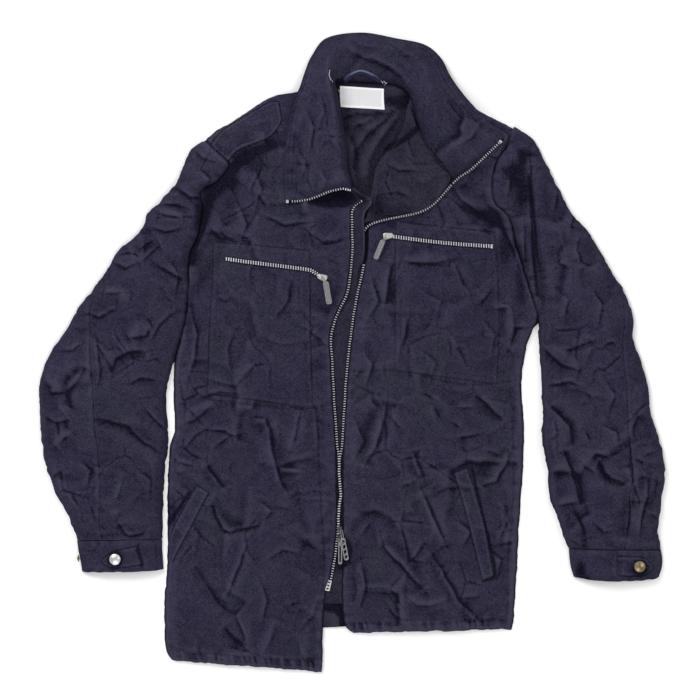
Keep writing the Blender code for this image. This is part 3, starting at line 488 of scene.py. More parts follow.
# %% The film and scratches of used metal
def make_film():
    """Tint and roughness of handled metal."""
    group, start, end = effect("used_metal", [
        ("Bright", "Color", (0.5, 0.5, 0.5, 1)), ("Dull", "Color", (0.2, 0.2, 0.2, 1)),
        ("Rough", "Float", 0.3)], [("Colour", "Color"), ("Roughness", "Float")])
    place = put(group, "ShaderNodeTexCoord").outputs["Object"]
    film = put(group, "ShaderNodeTexNoise", {"Vector": place, "Scale": 700, "Detail": 4,
                                             "Roughness": 0.7}).outputs[0]
    drawn = put(group, "ShaderNodeMapping", {"Vector": place, "Scale": (1.0, 0.1, 0.1)}).outputs[0]
    marks = put(group, "ShaderNodeTexNoise", {"Vector": drawn, "Scale": 5000, "Detail": 2}).outputs[0]
    share = put(group, "ShaderNodeClamp", {0: sums(group, "MULTIPLY_ADD", film, 2.2, -0.6)}).outputs[0]
    colour = blend_colours(group, share, start.outputs["Bright"], start.outputs["Dull"])
    rough = sums(group, "MULTIPLY_ADD", film, 0.25, start.outputs["Rough"])
    rough = sums(group, "MULTIPLY_ADD", marks, 0.12, rough)
    group.links.new(colour, end.inputs["Colour"])
    group.links.new(rough, end.inputs["Roughness"])
    return group


FILM = make_film()


def metal_finish(name, bright, dull, rough):
    """A metal: its clean and its dulled colour, and how rough it is where clean."""
    made, tree, shader = new_finish(name)
    film = put(tree, "ShaderNodeGroup", node_tree=FILM)
    film.inputs["Bright"].default_value = (*bright, 1)
    film.inputs["Dull"].default_value = (*dull, 1)
    film.inputs["Rough"].default_value = rough
    tree.links.new(film.outputs["Colour"], shader.inputs["Base Color"])
    tree.links.new(film.outputs["Roughness"], shader.inputs["Roughness"])
    shader.inputs["Metallic"].default_value = 1.0
    made.diffuse_color = (*bright, 1)
    return made


TEETH = metal_finish("tooth_metal", (0.96, 0.94, 1.0), (0.66, 0.64, 0.70), 0.30)
GUNMETAL = metal_finish("dark_metal", (0.40, 0.40, 0.42), (0.16, 0.16, 0.17), 0.28)
BLACKENED = metal_finish("black_metal", (0.15, 0.15, 0.16), (0.04, 0.04, 0.045), 0.34)
NICKEL = metal_finish("bright_metal", (0.90, 0.89, 0.86), (0.62, 0.61, 0.58), 0.16)
BRASS = metal_finish("old_brass", (0.40, 0.33, 0.19), (0.10, 0.07, 0.035), 0.22)

# %% [markdown]
# ## A sheet of cloth
# Each piece is one sheet of points with its edges turned under, as a real panel's edges are
# turned and sewn down. A Solidify modifier would double the points to show a cut edge that no
# garment has. The sheet's proud places are found by comparing each height with the mean round it.

# %% Sheets, their turned edges and their attributes
SHEETS = {}


def blurred(field, reach):
    """A running mean over a square of cells."""
    for axis in (0, 1):
        pads = [(0, 0), (0, 0)]
        pads[axis] = (reach + 1, reach)
        total = np.cumsum(np.pad(field, pads, mode="edge"), axis=axis)
        count = field.shape[axis]
        ahead = np.take(total, range(2 * reach + 1, 2 * reach + 1 + count), axis=axis)
        field = (ahead - np.take(total, range(count), axis=axis)) / (2 * reach + 1)
    return field


def proudness(grid):
    """From 0 in a hollow to 1 on a proud crease; narrow deep troughs go lower still, as painted shade."""
    height = grid[..., 2]
    near = height - blurred(height, round(5 / THREADS))
    wide = height - blurred(height, round(14 / THREADS))
    # The last term is painted shade: it darkens narrow deep troughs further.
    return np.clip(0.5 + near / 2.6 + wide / 7 - 0.5 * np.maximum(-near - 0.25, 0), 0, 1)


def turn_edge(grid, wear_and_shade, thick, depth):
    """The last line of a grid turned under: round the edge, then back beneath the cloth."""
    edge, inner = grid[-1], grid[-3]
    out = edge - inner
    out[:, 2] = 0
    out /= np.maximum(np.linalg.norm(out, axis=1), 1e-6)[:, None]
    radius, added = thick / 2, []
    for angle in np.radians((50, 95, 140, 180)):
        line = edge + out * radius * math.sin(angle)
        line[:, 2] -= radius * (1 - math.cos(angle))
        added.append(line)
    room = np.linalg.norm(grid[-1] - grid[0], axis=1)[:, None]
    back = edge - out * np.minimum(depth, 0.4 * room)
    back[:, 2] -= thick
    worn = np.tile(np.minimum(wear_and_shade[-1] + 0.12, 1), (5, 1))
    return np.vstack([grid, added, [back]]), np.vstack([wear_and_shade, worn])


def turned(grid, wear_and_shade, sides, thick=CLOTH, depth=4.0):
    """Turns the named edges of a grid under."""
    for side in sides.split():
        flip = side in ("top", "left")
        swap = side in ("left", "right")
        grid, wear_and_shade = (part.swapaxes(0, 1) if swap else part for part in (grid, wear_and_shade))
        grid, wear_and_shade = (part[::-1] if flip else part for part in (grid, wear_and_shade))
        grid, wear_and_shade = turn_edge(grid, wear_and_shade, thick, depth)
        grid, wear_and_shade = (part[::-1] if flip else part for part in (grid, wear_and_shade))
        grid, wear_and_shade = (part.swapaxes(0, 1) if swap else part for part in (grid, wear_and_shade))
    return grid, wear_and_shade


def add_to_scene(name, data):
    """An object in the scene that shows a mesh, a curve, a lamp or a camera."""
    item = bpy.data.objects.new(name, data)
    bpy.context.scene.collection.objects.link(item)
    return item


def new_piece(name, corners, faces, finish, body="jacket"):
    """A mesh object from points in millimetres, riding on a body of the jacket."""
    mesh = bpy.data.meshes.new(name)
    mesh.from_pydata((np.asarray(corners) * MM).tolist(), [], faces)
    mesh.shade_smooth()
    mesh.materials.append(finish)
    item = add_to_scene(name, mesh)
    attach(item, body)
    return item


def mark(item, grain, wear_and_shade):
    """Gives a piece the two attributes that its finish reads."""
    attribute = item.data.attributes.new("grain", "FLOAT_VECTOR", "POINT")
    attribute.data.foreach_set("vector", grain.astype(np.float32).ravel())
    attribute = item.data.attributes.new("wear_and_shade", "FLOAT", "POINT")
    attribute.data.foreach_set("value", wear_and_shade.astype(np.float32).ravel())


def grid_faces(lines, count, ring, flip):
    """The quads between the points of a grid."""
    here = np.arange(lines - 1)[:, None] * count + np.arange(count if ring else count - 1)
    after = here + 1
    if ring:
        after[:, -1] -= count
    quads = np.stack([here, here + count, after + count, after], axis=-1).reshape(-1, 4)
    return (quads[:, ::-1] if flip else quads).tolist()


def looks_down(grid):
    """Whether the grid's quads would face into the cloth, seen from its middle and from above."""
    face = np.cross(np.gradient(grid, axis=0), np.gradient(grid, axis=1))
    from_middle = grid - grid.reshape(-1, 3).mean(axis=0)
    return (face * from_middle).sum() + 5 * face[..., 2].sum() < 0


def sheet(name, grid, finish, sides="", ring=False, thick=CLOTH, wear_and_shade=None, node=None):
    """Makes a sheet from a grid and remembers it; `node` is the solid that it stands for."""
    wear_and_shade = proudness(grid) if wear_and_shade is None else wear_and_shade
    flip = looks_down(grid)
    grid, wear_and_shade = turned(grid, wear_and_shade, sides, thick)
    grid[..., 2] = np.maximum(grid[..., 2], 0.1)
    lines, count = grid.shape[:2]
    item = new_piece(name, grid.reshape(-1, 3), grid_faces(lines, count, ring, flip), finish)
    steps = [np.linalg.norm(np.diff(grid, axis=axis), axis=2) for axis in (0, 1)]
    along = np.vstack([np.zeros((1, count)), np.cumsum(steps[0], axis=0)])
    over = np.hstack([np.zeros((lines, 1)), np.cumsum(steps[1], axis=1)])
    shift = scattered(len(SHEETS), 3.0, 9) * 900
    mark(item, np.stack([over + shift, along + shift, 0 * over], axis=-1) * MM, wear_and_shade)
    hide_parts(node or name.removesuffix("_cloth"))
    SHEETS[name] = item
    print(f"{name}: {lines} x {count} points, top {grid[..., 2].max():.1f} mm")
    return item


def quarter(distance, radius):
    """From 0 at an edge to 1 at `radius` from it, as a rounded edge rises."""
    return np.sqrt(1 - (1 - np.clip(distance / radius, 0, 1)) ** 2)


def eased(distance, reach):
    """From 0 to 1 without a kink at either end."""
    share = np.clip(distance / reach, 0, 1)
    return share * share * (3 - 2 * share)


# %% Search for the cloth below a place
def search(items):
    """A search tree over finished pieces."""
    corners, faces = [], []
    for item in items:
        mesh = item.data
        places = np.zeros(3 * len(mesh.vertices), np.float32)
        mesh.vertices.foreach_get("co", places)
        first = len(corners)
        corners += places.reshape(-1, 3).tolist()
        faces += [[first + corner for corner in face.vertices] for face in mesh.polygons]
    return BVHTree.FromPolygons(corners, faces)


DOWN = Vector((0, 0, -1))


def ground(tree, grid, fallback=0.5):
    """Height in millimetres of the uppermost cloth under each point of a grid."""
    heights = np.full(grid.shape[:-1], fallback)
    for place in np.ndindex(heights.shape):
        hit = tree.ray_cast(Vector((grid[place][0] * MM, grid[place][1] * MM, 0.5)), DOWN)[0]
        if hit:
            heights[place] = hit.z / MM
    return heights

# %% [markdown]
# ## The fronts
# Each front is one panel from the shoulder, round the armhole and down the side seam to the hem,
# and its other edge carries the zip. It lies on the back, so it swells a little between its
# edges. The edge rolls down to the surface at the side and hem, and dips into a seam at the
# armhole. Sewn lines that cross the panel draw small puckers into it.

# %% Sections of the right front
SECTION = "outer_x outer_y outer_z inner_x inner_y inner_z crown"
FRONT_RIGHT = table(SECTION, """
-76 366 2.7 -23 373 2.7 1.5
-111 359 2.7 -19 352 4 4
-139 342 2.7 -15 330 4 6
-167 324 2.7 -10 302 4 7
-194 307 2.7 -6 274 4 7
-201 295 4 -5 260 4 7
-170 265 6 -2 240 5 6
-192 240 6 4 227 7 5
-211 226 6 14 213 9 6
-209 205 6 -1 201 10 6
-212 180 6 -2 180 10 7
-218 159 6 -1 155 10 7
-227 139 6 -2 134 9 8
-229 89 6 -8 88 8 8
-233 50 5 -24 51 7 8
-240 19 4 -31 22 6.4 9
-247 -13 2.7 -29 -12 6.4 9
-248 -65 2.7 -27 -65 6.4 9
-247 -107 2.7 -24 -107 6.4 9
-254 -135 2.7 -22 -138 6.4 9
-257 -191 2.7 -21 -191 6.4 9
-257 -254 2.7 -22 -251 6.4 8.5
-258 -310 2.7 -30 -310 6 8
-261 -345 2.7 -38 -342 5 7.5
-261 -390 2.7 -41 -396 4 6
-258 -415 2.7 -41 -429 3.5 4.5
-251 -430 2.7 -43 -446 3 2
""")
FRONT_RIGHT_FOLDS = numbers("""
-194 -205 -125 -238 -16 11 -3.4
-142 -89 -90 -193 16 12 -3.2
-202 -156 -177 -188 -6 10 -2.6
-145 -261 -177 -345 8 11 2.8
-177 -380 -142 -415 -5 11 -2.4
-125 -422 -103 -370 5 11 2.2
-240 -102 -191 -70 10 10 2.4
-219 -296 -163 -366 -8 11 -2.4
-167 270 -230 75 22 14 -3.2
-156 -35 -134 -16 4 10 2.0
-83 103 -107 50 6 11 -2.0
-70 -79 -86 -135 6 11 2.4
-62 210 12 214 3 12 -6.0
""")
FRONT_RIGHT_CREASES = crease_table("""
6 3.2  -194 -205  -188 -226  -177 -244  -169 -248  -152 -243  -125 -237
6 3.0  -142 -89  -121 -90  -114 -107  -110 -135  -103 -163  -96 -184  -90 -194
5 2.6  -202 -156  -191 -174  -177 -188
4.5 2.2  -205 -104  -177 -107  -163 -114  -149 -110
4.5 2.0  -194 -135  -181 -121  -167 -114
4.5 1.8  -240 -100  -219 -93  -191 -69
4.5 1.8  -237 -135  -219 -114  -198 -100
4 2.0  -254 -139  -243 -149  -219 -156
4 1.4  -247 -166  -226 -163
5 2.2  -72 -79  -79 -114  -86 -135
4 1.4  -51 -72  -48 -100  -47 -132
4 1.4  -107 -212  -86 -216
4.5 2.0  -131 -205  -111 -219  -125 -233
7 2.6  -145 -261  -152 -282  -159 -303  -177 -345
5 1.3  -219 -296  -198 -331  -184 -352  -163 -366
6 1.7  -177 -380  -156 -401  -142 -415
5 1.3  -125 -422  -114 -401  -103 -370
4 1.4  -93 -352  -72 -345
3.5 1.3  -79 -194  -51 -191  -24 -195
3.5 1.3  -72 -205  -44 -202  -22 -206
4.5 2.0  -186 78  -176 75  -166 78
5 2.2  -83 103  -89 75  -107 50
4.5 1.8  -156 -34  -135 -16
4.5 1.8  -205 -34  -163 -44  -145 -30
5 2.2  -226 75  -215 26  -218 -9  -232 -44
6 2.6  -212 -62  -184 -52  -159 -55
4 1.6  -72 40  -44 22  -29 5
4 1.5  -125 26  -100 12  -72 15
4.5 1.8  -163 33  -173 5  -167 -26
5 2.2  -125 194  -93 180  -55 184
5 2.0  -163 215  -145 180  -156 152
4.5 1.8  -135 257  -125 229  -135 198
4.5 1.6  -65 173  -41 156  -19 159
5 2.0  -198 180  -181 162  -156 159
4.5 1.8  -121 -289  -97 -272  -72 -278
4.5 1.6  -226 -233  -212 -254  -219 -278
4.5 1.8  -128 -317  -117 -345  -125 -376
4 1.4  -72 -387  -55 -366  -47 -342
""")
FRONT_RIGHT_LINES = {
    "hem": [(-250, -412), (-191, -419), (-135, -425), (-72, -428), (-43, -428)],
    "waist": [(-219, -55), (-191, -65), (-156, -69), (-114, -74), (-72, -76), (-48, -74), (-27, -72)],
    "facing": [(-50, -71), (-47, -121), (-44, -177), (-41, -233), (-38, -289), (-41, -345), (-44, -422)],
}

# %% Sections of the left front
FRONT_LEFT = table(SECTION, """
166 346 2.7 83 358 2.7 2
200 328 2.7 76 338 3.5 4
227 312 2.7 71 316 4.5 6
216 289 6 61 298 5.5 6
204 268 6 46 279 6.5 6
197 243 6 34 260 7 6
200 211 6 29 229 6.5 6
220 191 6 26 198 5 6
232 150 6 23 170 4 8
240 120 6 23 145 4 8
253 79 6 18 114 6 8
261 52 5 9 75 6.4 8
250 27 3 4 41 6.4 9
240 -12 2.7 -1 2 6.4 9
237 -51 2.7 -5 -43 6.4 9
240 -86 2.7 -8 -82 6.4 9
241 -117 2.7 -10 -117 6.4 9
239 -163 2.7 -11.5 -163 6.4 9
236 -208 2.7 -11 -208 6.4 9
233 -247 2.7 -11.5 -247 6.4 9
232 -275 2.7 -9 -272 6 8
230 -310 2.7 -12 -306 5 7.5
227 -352 2.7 -12 -351 5 6
226 -373 2.7 -8 -380 4.6 4.5
223 -386 2.7 4 -391 3 2
""")
FRONT_LEFT_FOLDS = numbers("""
48 -65 20 -156 -14 12 -3.4
84 -135 98 -174 -6 10 -2.6
96 -188 131 -268 8 12 3.0
44 -258 100 -327 10 12 -3.2
110 -279 177 -373 -10 12 -3.0
77 -338 134 -342 -9 10 2.2
180 -184 222 -135 10 11 -2.8
74 129 135 133 4 10 2.4
56 128 48 68 6 11 -2.4
142 128 166 82 6 10 2.0
247 41 219 5 8 10 3.0
173 -58 211 -93 -6 10 -2.2
141 236 225 166 12 13 -3.4
""")
FRONT_LEFT_CREASES = crease_table("""
6 3.2  48 -65  44 -93  37 -121  26 -142  19 -156
4.5 1.8  54 -86  71 -107
6 2.8  85 -135  93 -156  99 -174
4.5 1.8  68 -184  93 -174
7 3.2  96 -188  103 -205  113 -226  121 -247  131 -268
5 2.0  113 -194  131 -187  173 -187
7 3.2  44 -258  47 -271  61 -286  75 -300  89 -317  100 -327
6 3.0  110 -279  124 -300  138 -324  149 -345  166 -362  177 -373
5 2.0  78 -338  93 -349  110 -349  134 -342
4.5 1.6  152 -341  180 -338
5 2.0  93 -51  124 -68
5 1.8  113 -72  121 -90
5 1.8  145 -76  173 -74
4.5 1.6  138 -93  152 -104
5 2.4  173 -58  187 -68  201 -82  211 -93
5 2.0  145 -117  180 -110
4.5 1.6  187 -135  208 -142
6 3.0  180 -184  201 -177  215 -156  222 -135
5 1.8  12 -254  29 -233
5 2.2  103 -261  93 -275  82 -289
6 2.8  74 128  117 127  135 131
6 2.8  57 128  51 103  47 68
5 2.2  142 128  155 96  166 82
5 2.0  194 89  173 68
6 2.6  79 54  75 26  68 5
4.5 1.6  145 12  159 -16
6 2.8  251 37  229 36  219 5
7 3.6  139 236  152 216  173 199  190 188  207 180  217 168  226 146  234 124
5 2.0  26 110  37 75  20 44
4.5 1.8  96 89  124 72  118 44
4.5 1.6  96 5  118 -12  110 -34
5 2.0  15 5  29 -16  20 -44
4.5 1.8  5 -93  18 -121  1 -152
4.5 1.8  145 -233  166 -247  155 -268
4.5 1.8  187 -268  208 -289  201 -317
5 2.0  12 -289  20 -324  9 -359
4.5 1.6  47 -345  61 -366  82 -370
5 2.0  208 -205  219 -233  205 -261
4.5 1.8  180 50  201 26  194 -2
""")
FRONT_LEFT_LINES = {
    "hem": [(1, -376), (23, -376), (68, -379), (124, -377), (166, -373), (216, -373)],
    "waist": [(-9, -26), (40, -23), (79, -24), (103, -31), (124, -37), (152, -43), (187, -43), (232, -37)],
    "side": [(227, -72), (225, -107), (227, -149), (226, -191), (223, -243), (219, -289), (218, -345),
             (215, -387)],
}


# %% Shape the fronts
HEM = 19                # height of the hem, turned twice
HEM_PUCKER = 3.6        # spacing of the puckers in it


def shaded(grid, wear_and_shade, painted_shade):
    """
    Wear_and_shade made lower where little light reaches, as painted shade. A patch of painted shade
    is a place (x, y, reach_x, reach_y, depth) or lies beside a path (path, reach, depth).
    """
    wear_and_shade, x, y = wear_and_shade.copy(), grid[..., 0], grid[..., 1]
    for *shape, depth in painted_shade:
        if len(shape) == 2:
            path, reach = shape
            near, away, along, length = beside(x, y, curve(path), 3 * reach)
            ends = np.clip(np.minimum(along, length - along) / 8 + 0.1, 0, 1)
            wear_and_shade[near] -= depth * ends * np.exp(-(away / reach) ** 2)
        else:
            at_x, at_y, reach_x, reach_y = shape
            away = ((x - at_x) / reach_x) ** 2 + ((y - at_y) / reach_y) ** 2
            wear_and_shade -= depth * np.exp(-away ** 1.5)
    return np.clip(wear_and_shade, 0, 1)


def front(name, rows, folds, creases, lines, painted_shade):
    """A front of cotton, and the lines along which it is sewn."""
    fine = fine_rows(rows, ("outer", "inner"), THREADS)
    outer = wavering(points(fine, "outer"), 11)
    inner = wavering(points(fine, "inner"), 13, 0.35)
    width = np.linalg.norm(inner - outer, axis=1)[:, None]
    shares = even(width.max())
    grid = span(outer, inner, shares)
    grid[..., 2] += fine["crown"][:, None] * np.sin(math.pi * shares) ** ARCH + FLOOR
    grid = folded(grid, folds, np.clip(np.minimum(shares, 1 - shares) / 0.08, 0, 1))
    x, y = grid[..., 0], grid[..., 1]
    from_outer, from_inner = shares * width, (1 - shares) * width
    from_hem = lengths((outer + inner) / 2)[::-1, None]
    from_edge = np.minimum(np.minimum(from_outer, from_inner), from_hem)
    grid[..., 2] += eased(from_edge, 16) * crumpled(x, y)
    grid[..., 2] += eased(from_edge, 7) * creased(x, y, creases)
    sewn_lines = [curve(line) for line in lines.values()]
    grid[..., 2] += sewn(x, y, sewn_lines)
    for edge, distance, kind in ((inner, from_inner, 21), (outer, from_outer, 22)):
        drawn = ripple(lengths(edge)[:, None], 6.5, kind) * np.exp(-((distance - 4) / 6) ** 2)
        grid[..., 2] += 0.4 * drawn
    puckers = ripple(x + 0.2 * y, HEM_PUCKER, 23)
    grid[..., 2] += 0.7 * (puckers * eased(from_hem, 3) * eased(HEM - from_hem, 6))
    low = 0.4
    lies = np.clip((6 - fine["outer_z"]) / 3, 0, 1)[:, None]
    rolled = low + (grid[..., 2] - low) * quarter(from_outer, 6)
    sunk = grid[..., 2] - 1.3 * np.exp(-(from_outer / 1.8) ** 2)
    grid[..., 2] = lies * rolled + (1 - lies) * sunk
    grid[..., 2] = low + (grid[..., 2] - low) * quarter(from_hem, 4)
    grid[..., 2] -= 0.8 * (1 - quarter(from_inner, 1.6))
    grid[..., 1] += (0.9 * ripple(x, 13, 29) + 0.6 * ripple(x, 5, 30)) * eased(14 - from_hem, 14)
    wear_and_shade = proudness(grid) + eased(HEM - from_hem, 5) * (0.16 * ripple(x + 0.2 * y, HEM_PUCKER, 23) - 0.1)
    item = sheet(name, grid, NAVY, "left right", wear_and_shade=shaded(grid, wear_and_shade, painted_shade))
    return item, grid, sewn_lines


def beside_edge(grid, distance, side=-1):
    """A line along one edge of a grid, a distance inside it, as places on the plane."""
    edge, other = grid[:, side, :2], grid[:, 0 if side else -1, :2]
    inwards = (other - edge) / np.linalg.norm(other - edge, axis=1)[:, None]
    return edge + inwards * distance


# %% The two fronts
# Painted shade under the collar's tip, along the armhole beside the sleeve, and by the welt.
FRONT_RIGHT_PAINTED_SHADE = [
    (-24, 216, 34, 13, 0.75), (2, 220, 16, 14, 0.5), (-30, 196, 10, 22, 0.15), (-190, 232, 16, 15, 0.9),
    ([(-103, 294), (-129, 283), (-155, 269), (-177, 249), (-196, 227), (-203, 203), (-209, 175),
      (-219, 148), (-227, 120)], 7, 1.1),
    (-140, 262, 26, 12, 0.35), (-227, 60, 7, 40, 0.45), (-252, -222, 8, 24, 0.5),
    ([(-223, -190), (-241, -217), (-260, -247)], 2.2, 0.8), ([(-222, -189), (-205, -197)], 1.6, 0.4),
]
# Painted shade below the lapel, along the armhole, behind the zip's ladder pull and beside the welt.
FRONT_LEFT_PAINTED_SHADE = [
    (26, 184, 9, 10, 0.35), (60, 182, 30, 9, 0.3), (214, 150, 9, 26, 0.35), (190, 196, 16, 8, 0.35),
    (236, 100, 7, 40, 0.35), (-8, -277, 7, 18, 2.2), (228, 150, 6, 14, 0.5),
    ([(150, 207), (170, 199), (190, 190), (207, 181), (219, 167)], 4.5, 0.8),
    ([(167.5, -157), (180, -215), (192, -262), (200, -309), (181, -318)], 1.7, 1.0),
]
front_right, right_grid, right_lines = front(
    "front_right_cloth", FRONT_RIGHT, FRONT_RIGHT_FOLDS, FRONT_RIGHT_CREASES, FRONT_RIGHT_LINES,
    FRONT_RIGHT_PAINTED_SHADE)
front_left, left_grid, left_lines = front(
    "front_left_cloth", FRONT_LEFT, FRONT_LEFT_FOLDS, FRONT_LEFT_CREASES, FRONT_LEFT_LINES,
    FRONT_LEFT_PAINTED_SHADE)
THREAD_LINES = [*right_lines, *left_lines, beside_edge(right_grid, 5.5), beside_edge(left_grid, 5.5)]

# %% [markdown]
# ## The back
# The back lies flat under everything. It shows inside the neck, and as a strip between the
# fronts at the hem. Its inner face is the darker side of the cloth, so it gets that finish, and
# a light crumple where it shows.

# %% The back
STRIP = "left_x left_y right_x right_y"
BACK_NECK = table(STRIP, """
-24 388 76 384
-26 377 84 370
-50 369 110 361
""")
BACK_SKIPS = (17, 23)   # sections of the right front without a partner on the left
BACK_HEM = ((-258.5, -394, 0), (224.5, -369, 0))
BACK_CREASES = crease_table("""
5 2.0  -20 328  8 336  38 337  64 342  72 360
6 2.6  74 348  58 322  40 300  26 272  20 240
5 2.2  60 345  44 326  20 306  4 284
5 2.0  -8 312  4 290  2 262  10 236
4.5 1.8  34 330  18 322  0 318
5 2.0  -36 -352  -20 -366  -12 -386
""")
# A line of painted shade inside the neck, on the back and the lapel.
NECK_SHADE = ([(98, 340), (94, 318), (78, 301), (45, 283)], 3, 1.6)
# Painted shade under the flap's lower end, on the strip between the fronts and beside the collar's fold at
# the neck.
BACK_PAINTED_SHADE = [(-25, -355, 15, 6, 1.5), (-12, -390, 6, 40, 0.5), (66, 352, 22, 9, 0.7),
                (80, 358, 8, 10, 0.9), NECK_SHADE]


def make_back():
    """One sheet from side seam to side seam, tucked a little under the fronts' edges."""
    right = points(FRONT_RIGHT, "outer")
    left = points(FRONT_LEFT, "outer")
    start = np.delete(right, BACK_SKIPS, axis=0)[:-2]
    tucked = [np.where(line[:, 2:] > 4, (6, 0, 0), (-2.5, 0, 0)) for line in (start, left[:-2])]
    start = np.vstack([points(BACK_NECK, "left"), start - tucked[0], BACK_HEM[0]])
    end = np.vstack([points(BACK_NECK, "right"), left[:-2] + tucked[1], BACK_HEM[1]])
    rows = {"start_x": start[:, 0], "start_y": start[:, 1], "end_x": end[:, 0], "end_y": end[:, 1]}
    fine = fine_rows(rows, ("start", "end"), 4)
    grid = span(points(fine, "start"), points(fine, "end"), even(460, 4))
    x, y = grid[..., 0], grid[..., 1]
    from_side = np.minimum(np.arange(grid.shape[1]), np.arange(grid.shape[1])[::-1]) * 4.0
    loose = np.clip(0.5 * crumpled(x, y) + 0.8 + creased(x, y, BACK_CREASES), 0, 3.6)
    grid[..., 2] = CLOTH + eased(from_side, 30) * loose
    return sheet("back_cloth", grid, INSIDE, "top bottom left right",
                 wear_and_shade=shaded(grid, proudness(grid), BACK_PAINTED_SHADE))


back = make_back()

# %% [markdown]
# ## The sleeves
# A sleeve lies as a flattened tube. Its upper piece reaches from the armhole seam to the long
# seam down the forearm, and the other piece goes round the outer fold and underneath. The swell
# between the folds is a flattened circle, which gives the soft rolled edge that cloth has.

# %% Sections of the sleeves
SLEEVE = "outer_x outer_y inner_x inner_y inner_z crown seam"
SLEEVE_RIGHT = table(SLEEVE, """
-209 297 -173 263 6 8 0.04
-226 284 -175 257 6 10 0.04
-236 262 -192 239 6 12 0.04
-244 241 -211 226 6 13 0.04
-268 212 -209 205 6 14 0.04
-285 195 -212 180 6 15 0.04
-292 177 -218 159 6 15 0.04
-324 145 -227 139 6 16 0.04
-344 114 -229 114 6 16 0.04
-356 96 -229 89 6 16 0.05
-384 61 -233 50 5 16 0.13
-404 26 -240 19 4 17 0.25
-426 -9 -250 -12 2.7 17 0.36
-438 -46 -258 -44 2.7 17 0.43
-436 -79 -260 -76 2.7 16 0.44
-435 -115 -257 -110 2.7 16 0.44
-428 -158 -261 -158 2.7 16 0.46
-411 -200 -264 -202 2.7 15 0.42
-393 -233 -265 -233 2.7 14 0.33
-384 -261 -265 -258 2.7 12 0.31
""")
SLEEVE_RIGHT_FOLDS = numbers("""
-369 -18 -393 -75 -16 9 -3.6
-338 -23 -285 -2 6 10 -3.0
-310 22 -279 40 5 10 3.2
-345 85 -307 78 4 10 2.6
-303 136 -265 152 5 10 -3.0
-268 190 -233 186 4 10 3.0
-359 -92 -262 -139 10 11 -3.4
-327 -226 -285 -247 -9 9 -3.0
-412 -130 -391 -108 4 9 2.4
-318 -162 -341 -210 7 10 2.6
""")
SLEEVE_RIGHT_CREASES = crease_table("""
6 3.2  -355 19  -352 -9  -349 -30  -355 -51
6 3.2  -369 -18  -380 -37  -397 -54  -394 -72
5 2.2  -422 -54  -401 -54
5 2.4  -338 -23  -327 -6  -306 5  -285 2
6 3.0  -310 22  -285 26  -279 36
5 2.2  -282 12  -268 40  -240 64
5 2.4  -345 85  -317 86
5 2.4  -296 145  -275 159
5 2.4  -292 128  -265 152
6 2.8  -268 198  -251 191  -233 187
5 2.4  -359 -90  -338 -93  -310 -99  -299 -114  -275 -132  -261 -138
5 2.2  -289 -72  -275 -90  -257 -107
5 2.2  -411 -128  -391 -111
5 2.0  -419 -173  -401 -160
5 2.2  -394 -191  -380 -215
6 3.0  -327 -226  -321 -243  -310 -254  -285 -247
5 2.2  -317 -174  -327 -205
6 2.8  -240 229  -223 218  -205 220
5 2.4  -271 208  -254 209  -232 204
5 2.2  -279 176  -257 170  -234 176
5 2.4  -254 128  -240 110  -246 82
5 2.2  -335 128  -313 120  -293 128
5 2.2  -373 58  -352 52  -327 64
5 2.0  -405 5  -388 5  -372 16
5 2.2  -310 -44  -293 -34  -271 -37
5 2.0  -429 -86  -411 -96  -391 -90
5 2.0  -296 -163  -279 -177  -282 -202
5 2.0  -380 -149  -363 -163  -369 -188
5 2.0  -218 285  -205 271  -187 268
5 2.2  -212 257  -198 243  -205 226
""")
SLEEVE_LEFT = table(SLEEVE, """
232 315 225 312 6 4 0.04
253 300 216 289 6 8 0.04
268 274 204 268 6 11 0.04
282 246 197 243 6 13 0.04
299 214 200 211 6 14 0.04
314 188 220 191 6 15 0.04
340 158 232 150 6 15 0.04
358 125 240 120 6 16 0.04
382 86 253 79 6 16 0.05
393 52 261 52 5 16 0.1
394 22 262 26 3.5 16 0.12
404 -6 265 -9 2.7 16 0.18
414 -46 267 -46 2.7 16 0.22
418 -79 268 -79 2.7 16 0.23
430 -121 268 -121 2.7 16 0.27
438 -160 275 -160 2.7 16 0.29
435 -202 278 -200 2.7 15 0.3
430 -240 290 -233 2.7 14 0.31
432 -274 303 -272 2.7 12 0.41
""")
SLEEVE_LEFT_FOLDS = numbers("""
248 275 254 190 5 11 4.0
238 186 262 52 12 9 -3.4
315 158 334 120 8 10 -2.8
264 12 317 -23 6 10 3.2
275 -74 305 -130 12 10 -3.4
343 -150 379 -184 -6 10 -3.2
294 -135 323 -210 8 10 -2.8
410 -170 380 -258 -10 10 -3.4
285 -213 317 -204 4 9 2.6
384 -157 391 -206 6 9 2.6
""")
SLEEVE_LEFT_CREASES = crease_table("""
6 2.6  316 159  313 142  317 128  334 120
5 2.4  264 12  278 -2  292 -16  317 -23
5 2.2  292 5  320 12  341 19
4.5 1.8  352 15  369 16
6 3.2  271 -68  289 -86  303 -100  306 -128
6 3.0  295 -135  303 -156  313 -177  323 -208
5 1.8  323 -107  331 -124
5 2.4  271 -44  303 -38  324 -47
6 3.2  344 -149  352 -163  362 -174  379 -181
5 2.0  316 -146  334 -163  345 -169
5 2.0  285 -212  316 -205
5 2.4  309 -216  320 -240  326 -268
4.5 1.8  404 -142  425 -135
4.5 1.8  393 -145  411 -152
6 3.0  411 -170  411 -198  404 -219  401 -254
5 2.6  384 -156  391 -177  390 -205
4.5 1.8  415 -222  428 -229
7 3.6  247 285  247 229  254 166  258 128
7 3.2  239 184  240 128  247 96  262 54
5 2.2  292 215  309 194  303 166
5 2.2  271 246  286 226  281 198
5 2.0  334 89  348 68  342 40
5 2.0  285 89  300 75  295 47
5 2.0  352 -37  365 -58  356 -86
4.5 1.8  334 -233  351 -247  369 -244
5 2.0  348 -100  368 -110  373 -132
5 2.0  275 -121  286 -110  281 -90
5 2.2  208 257  222 243  215 215
""")


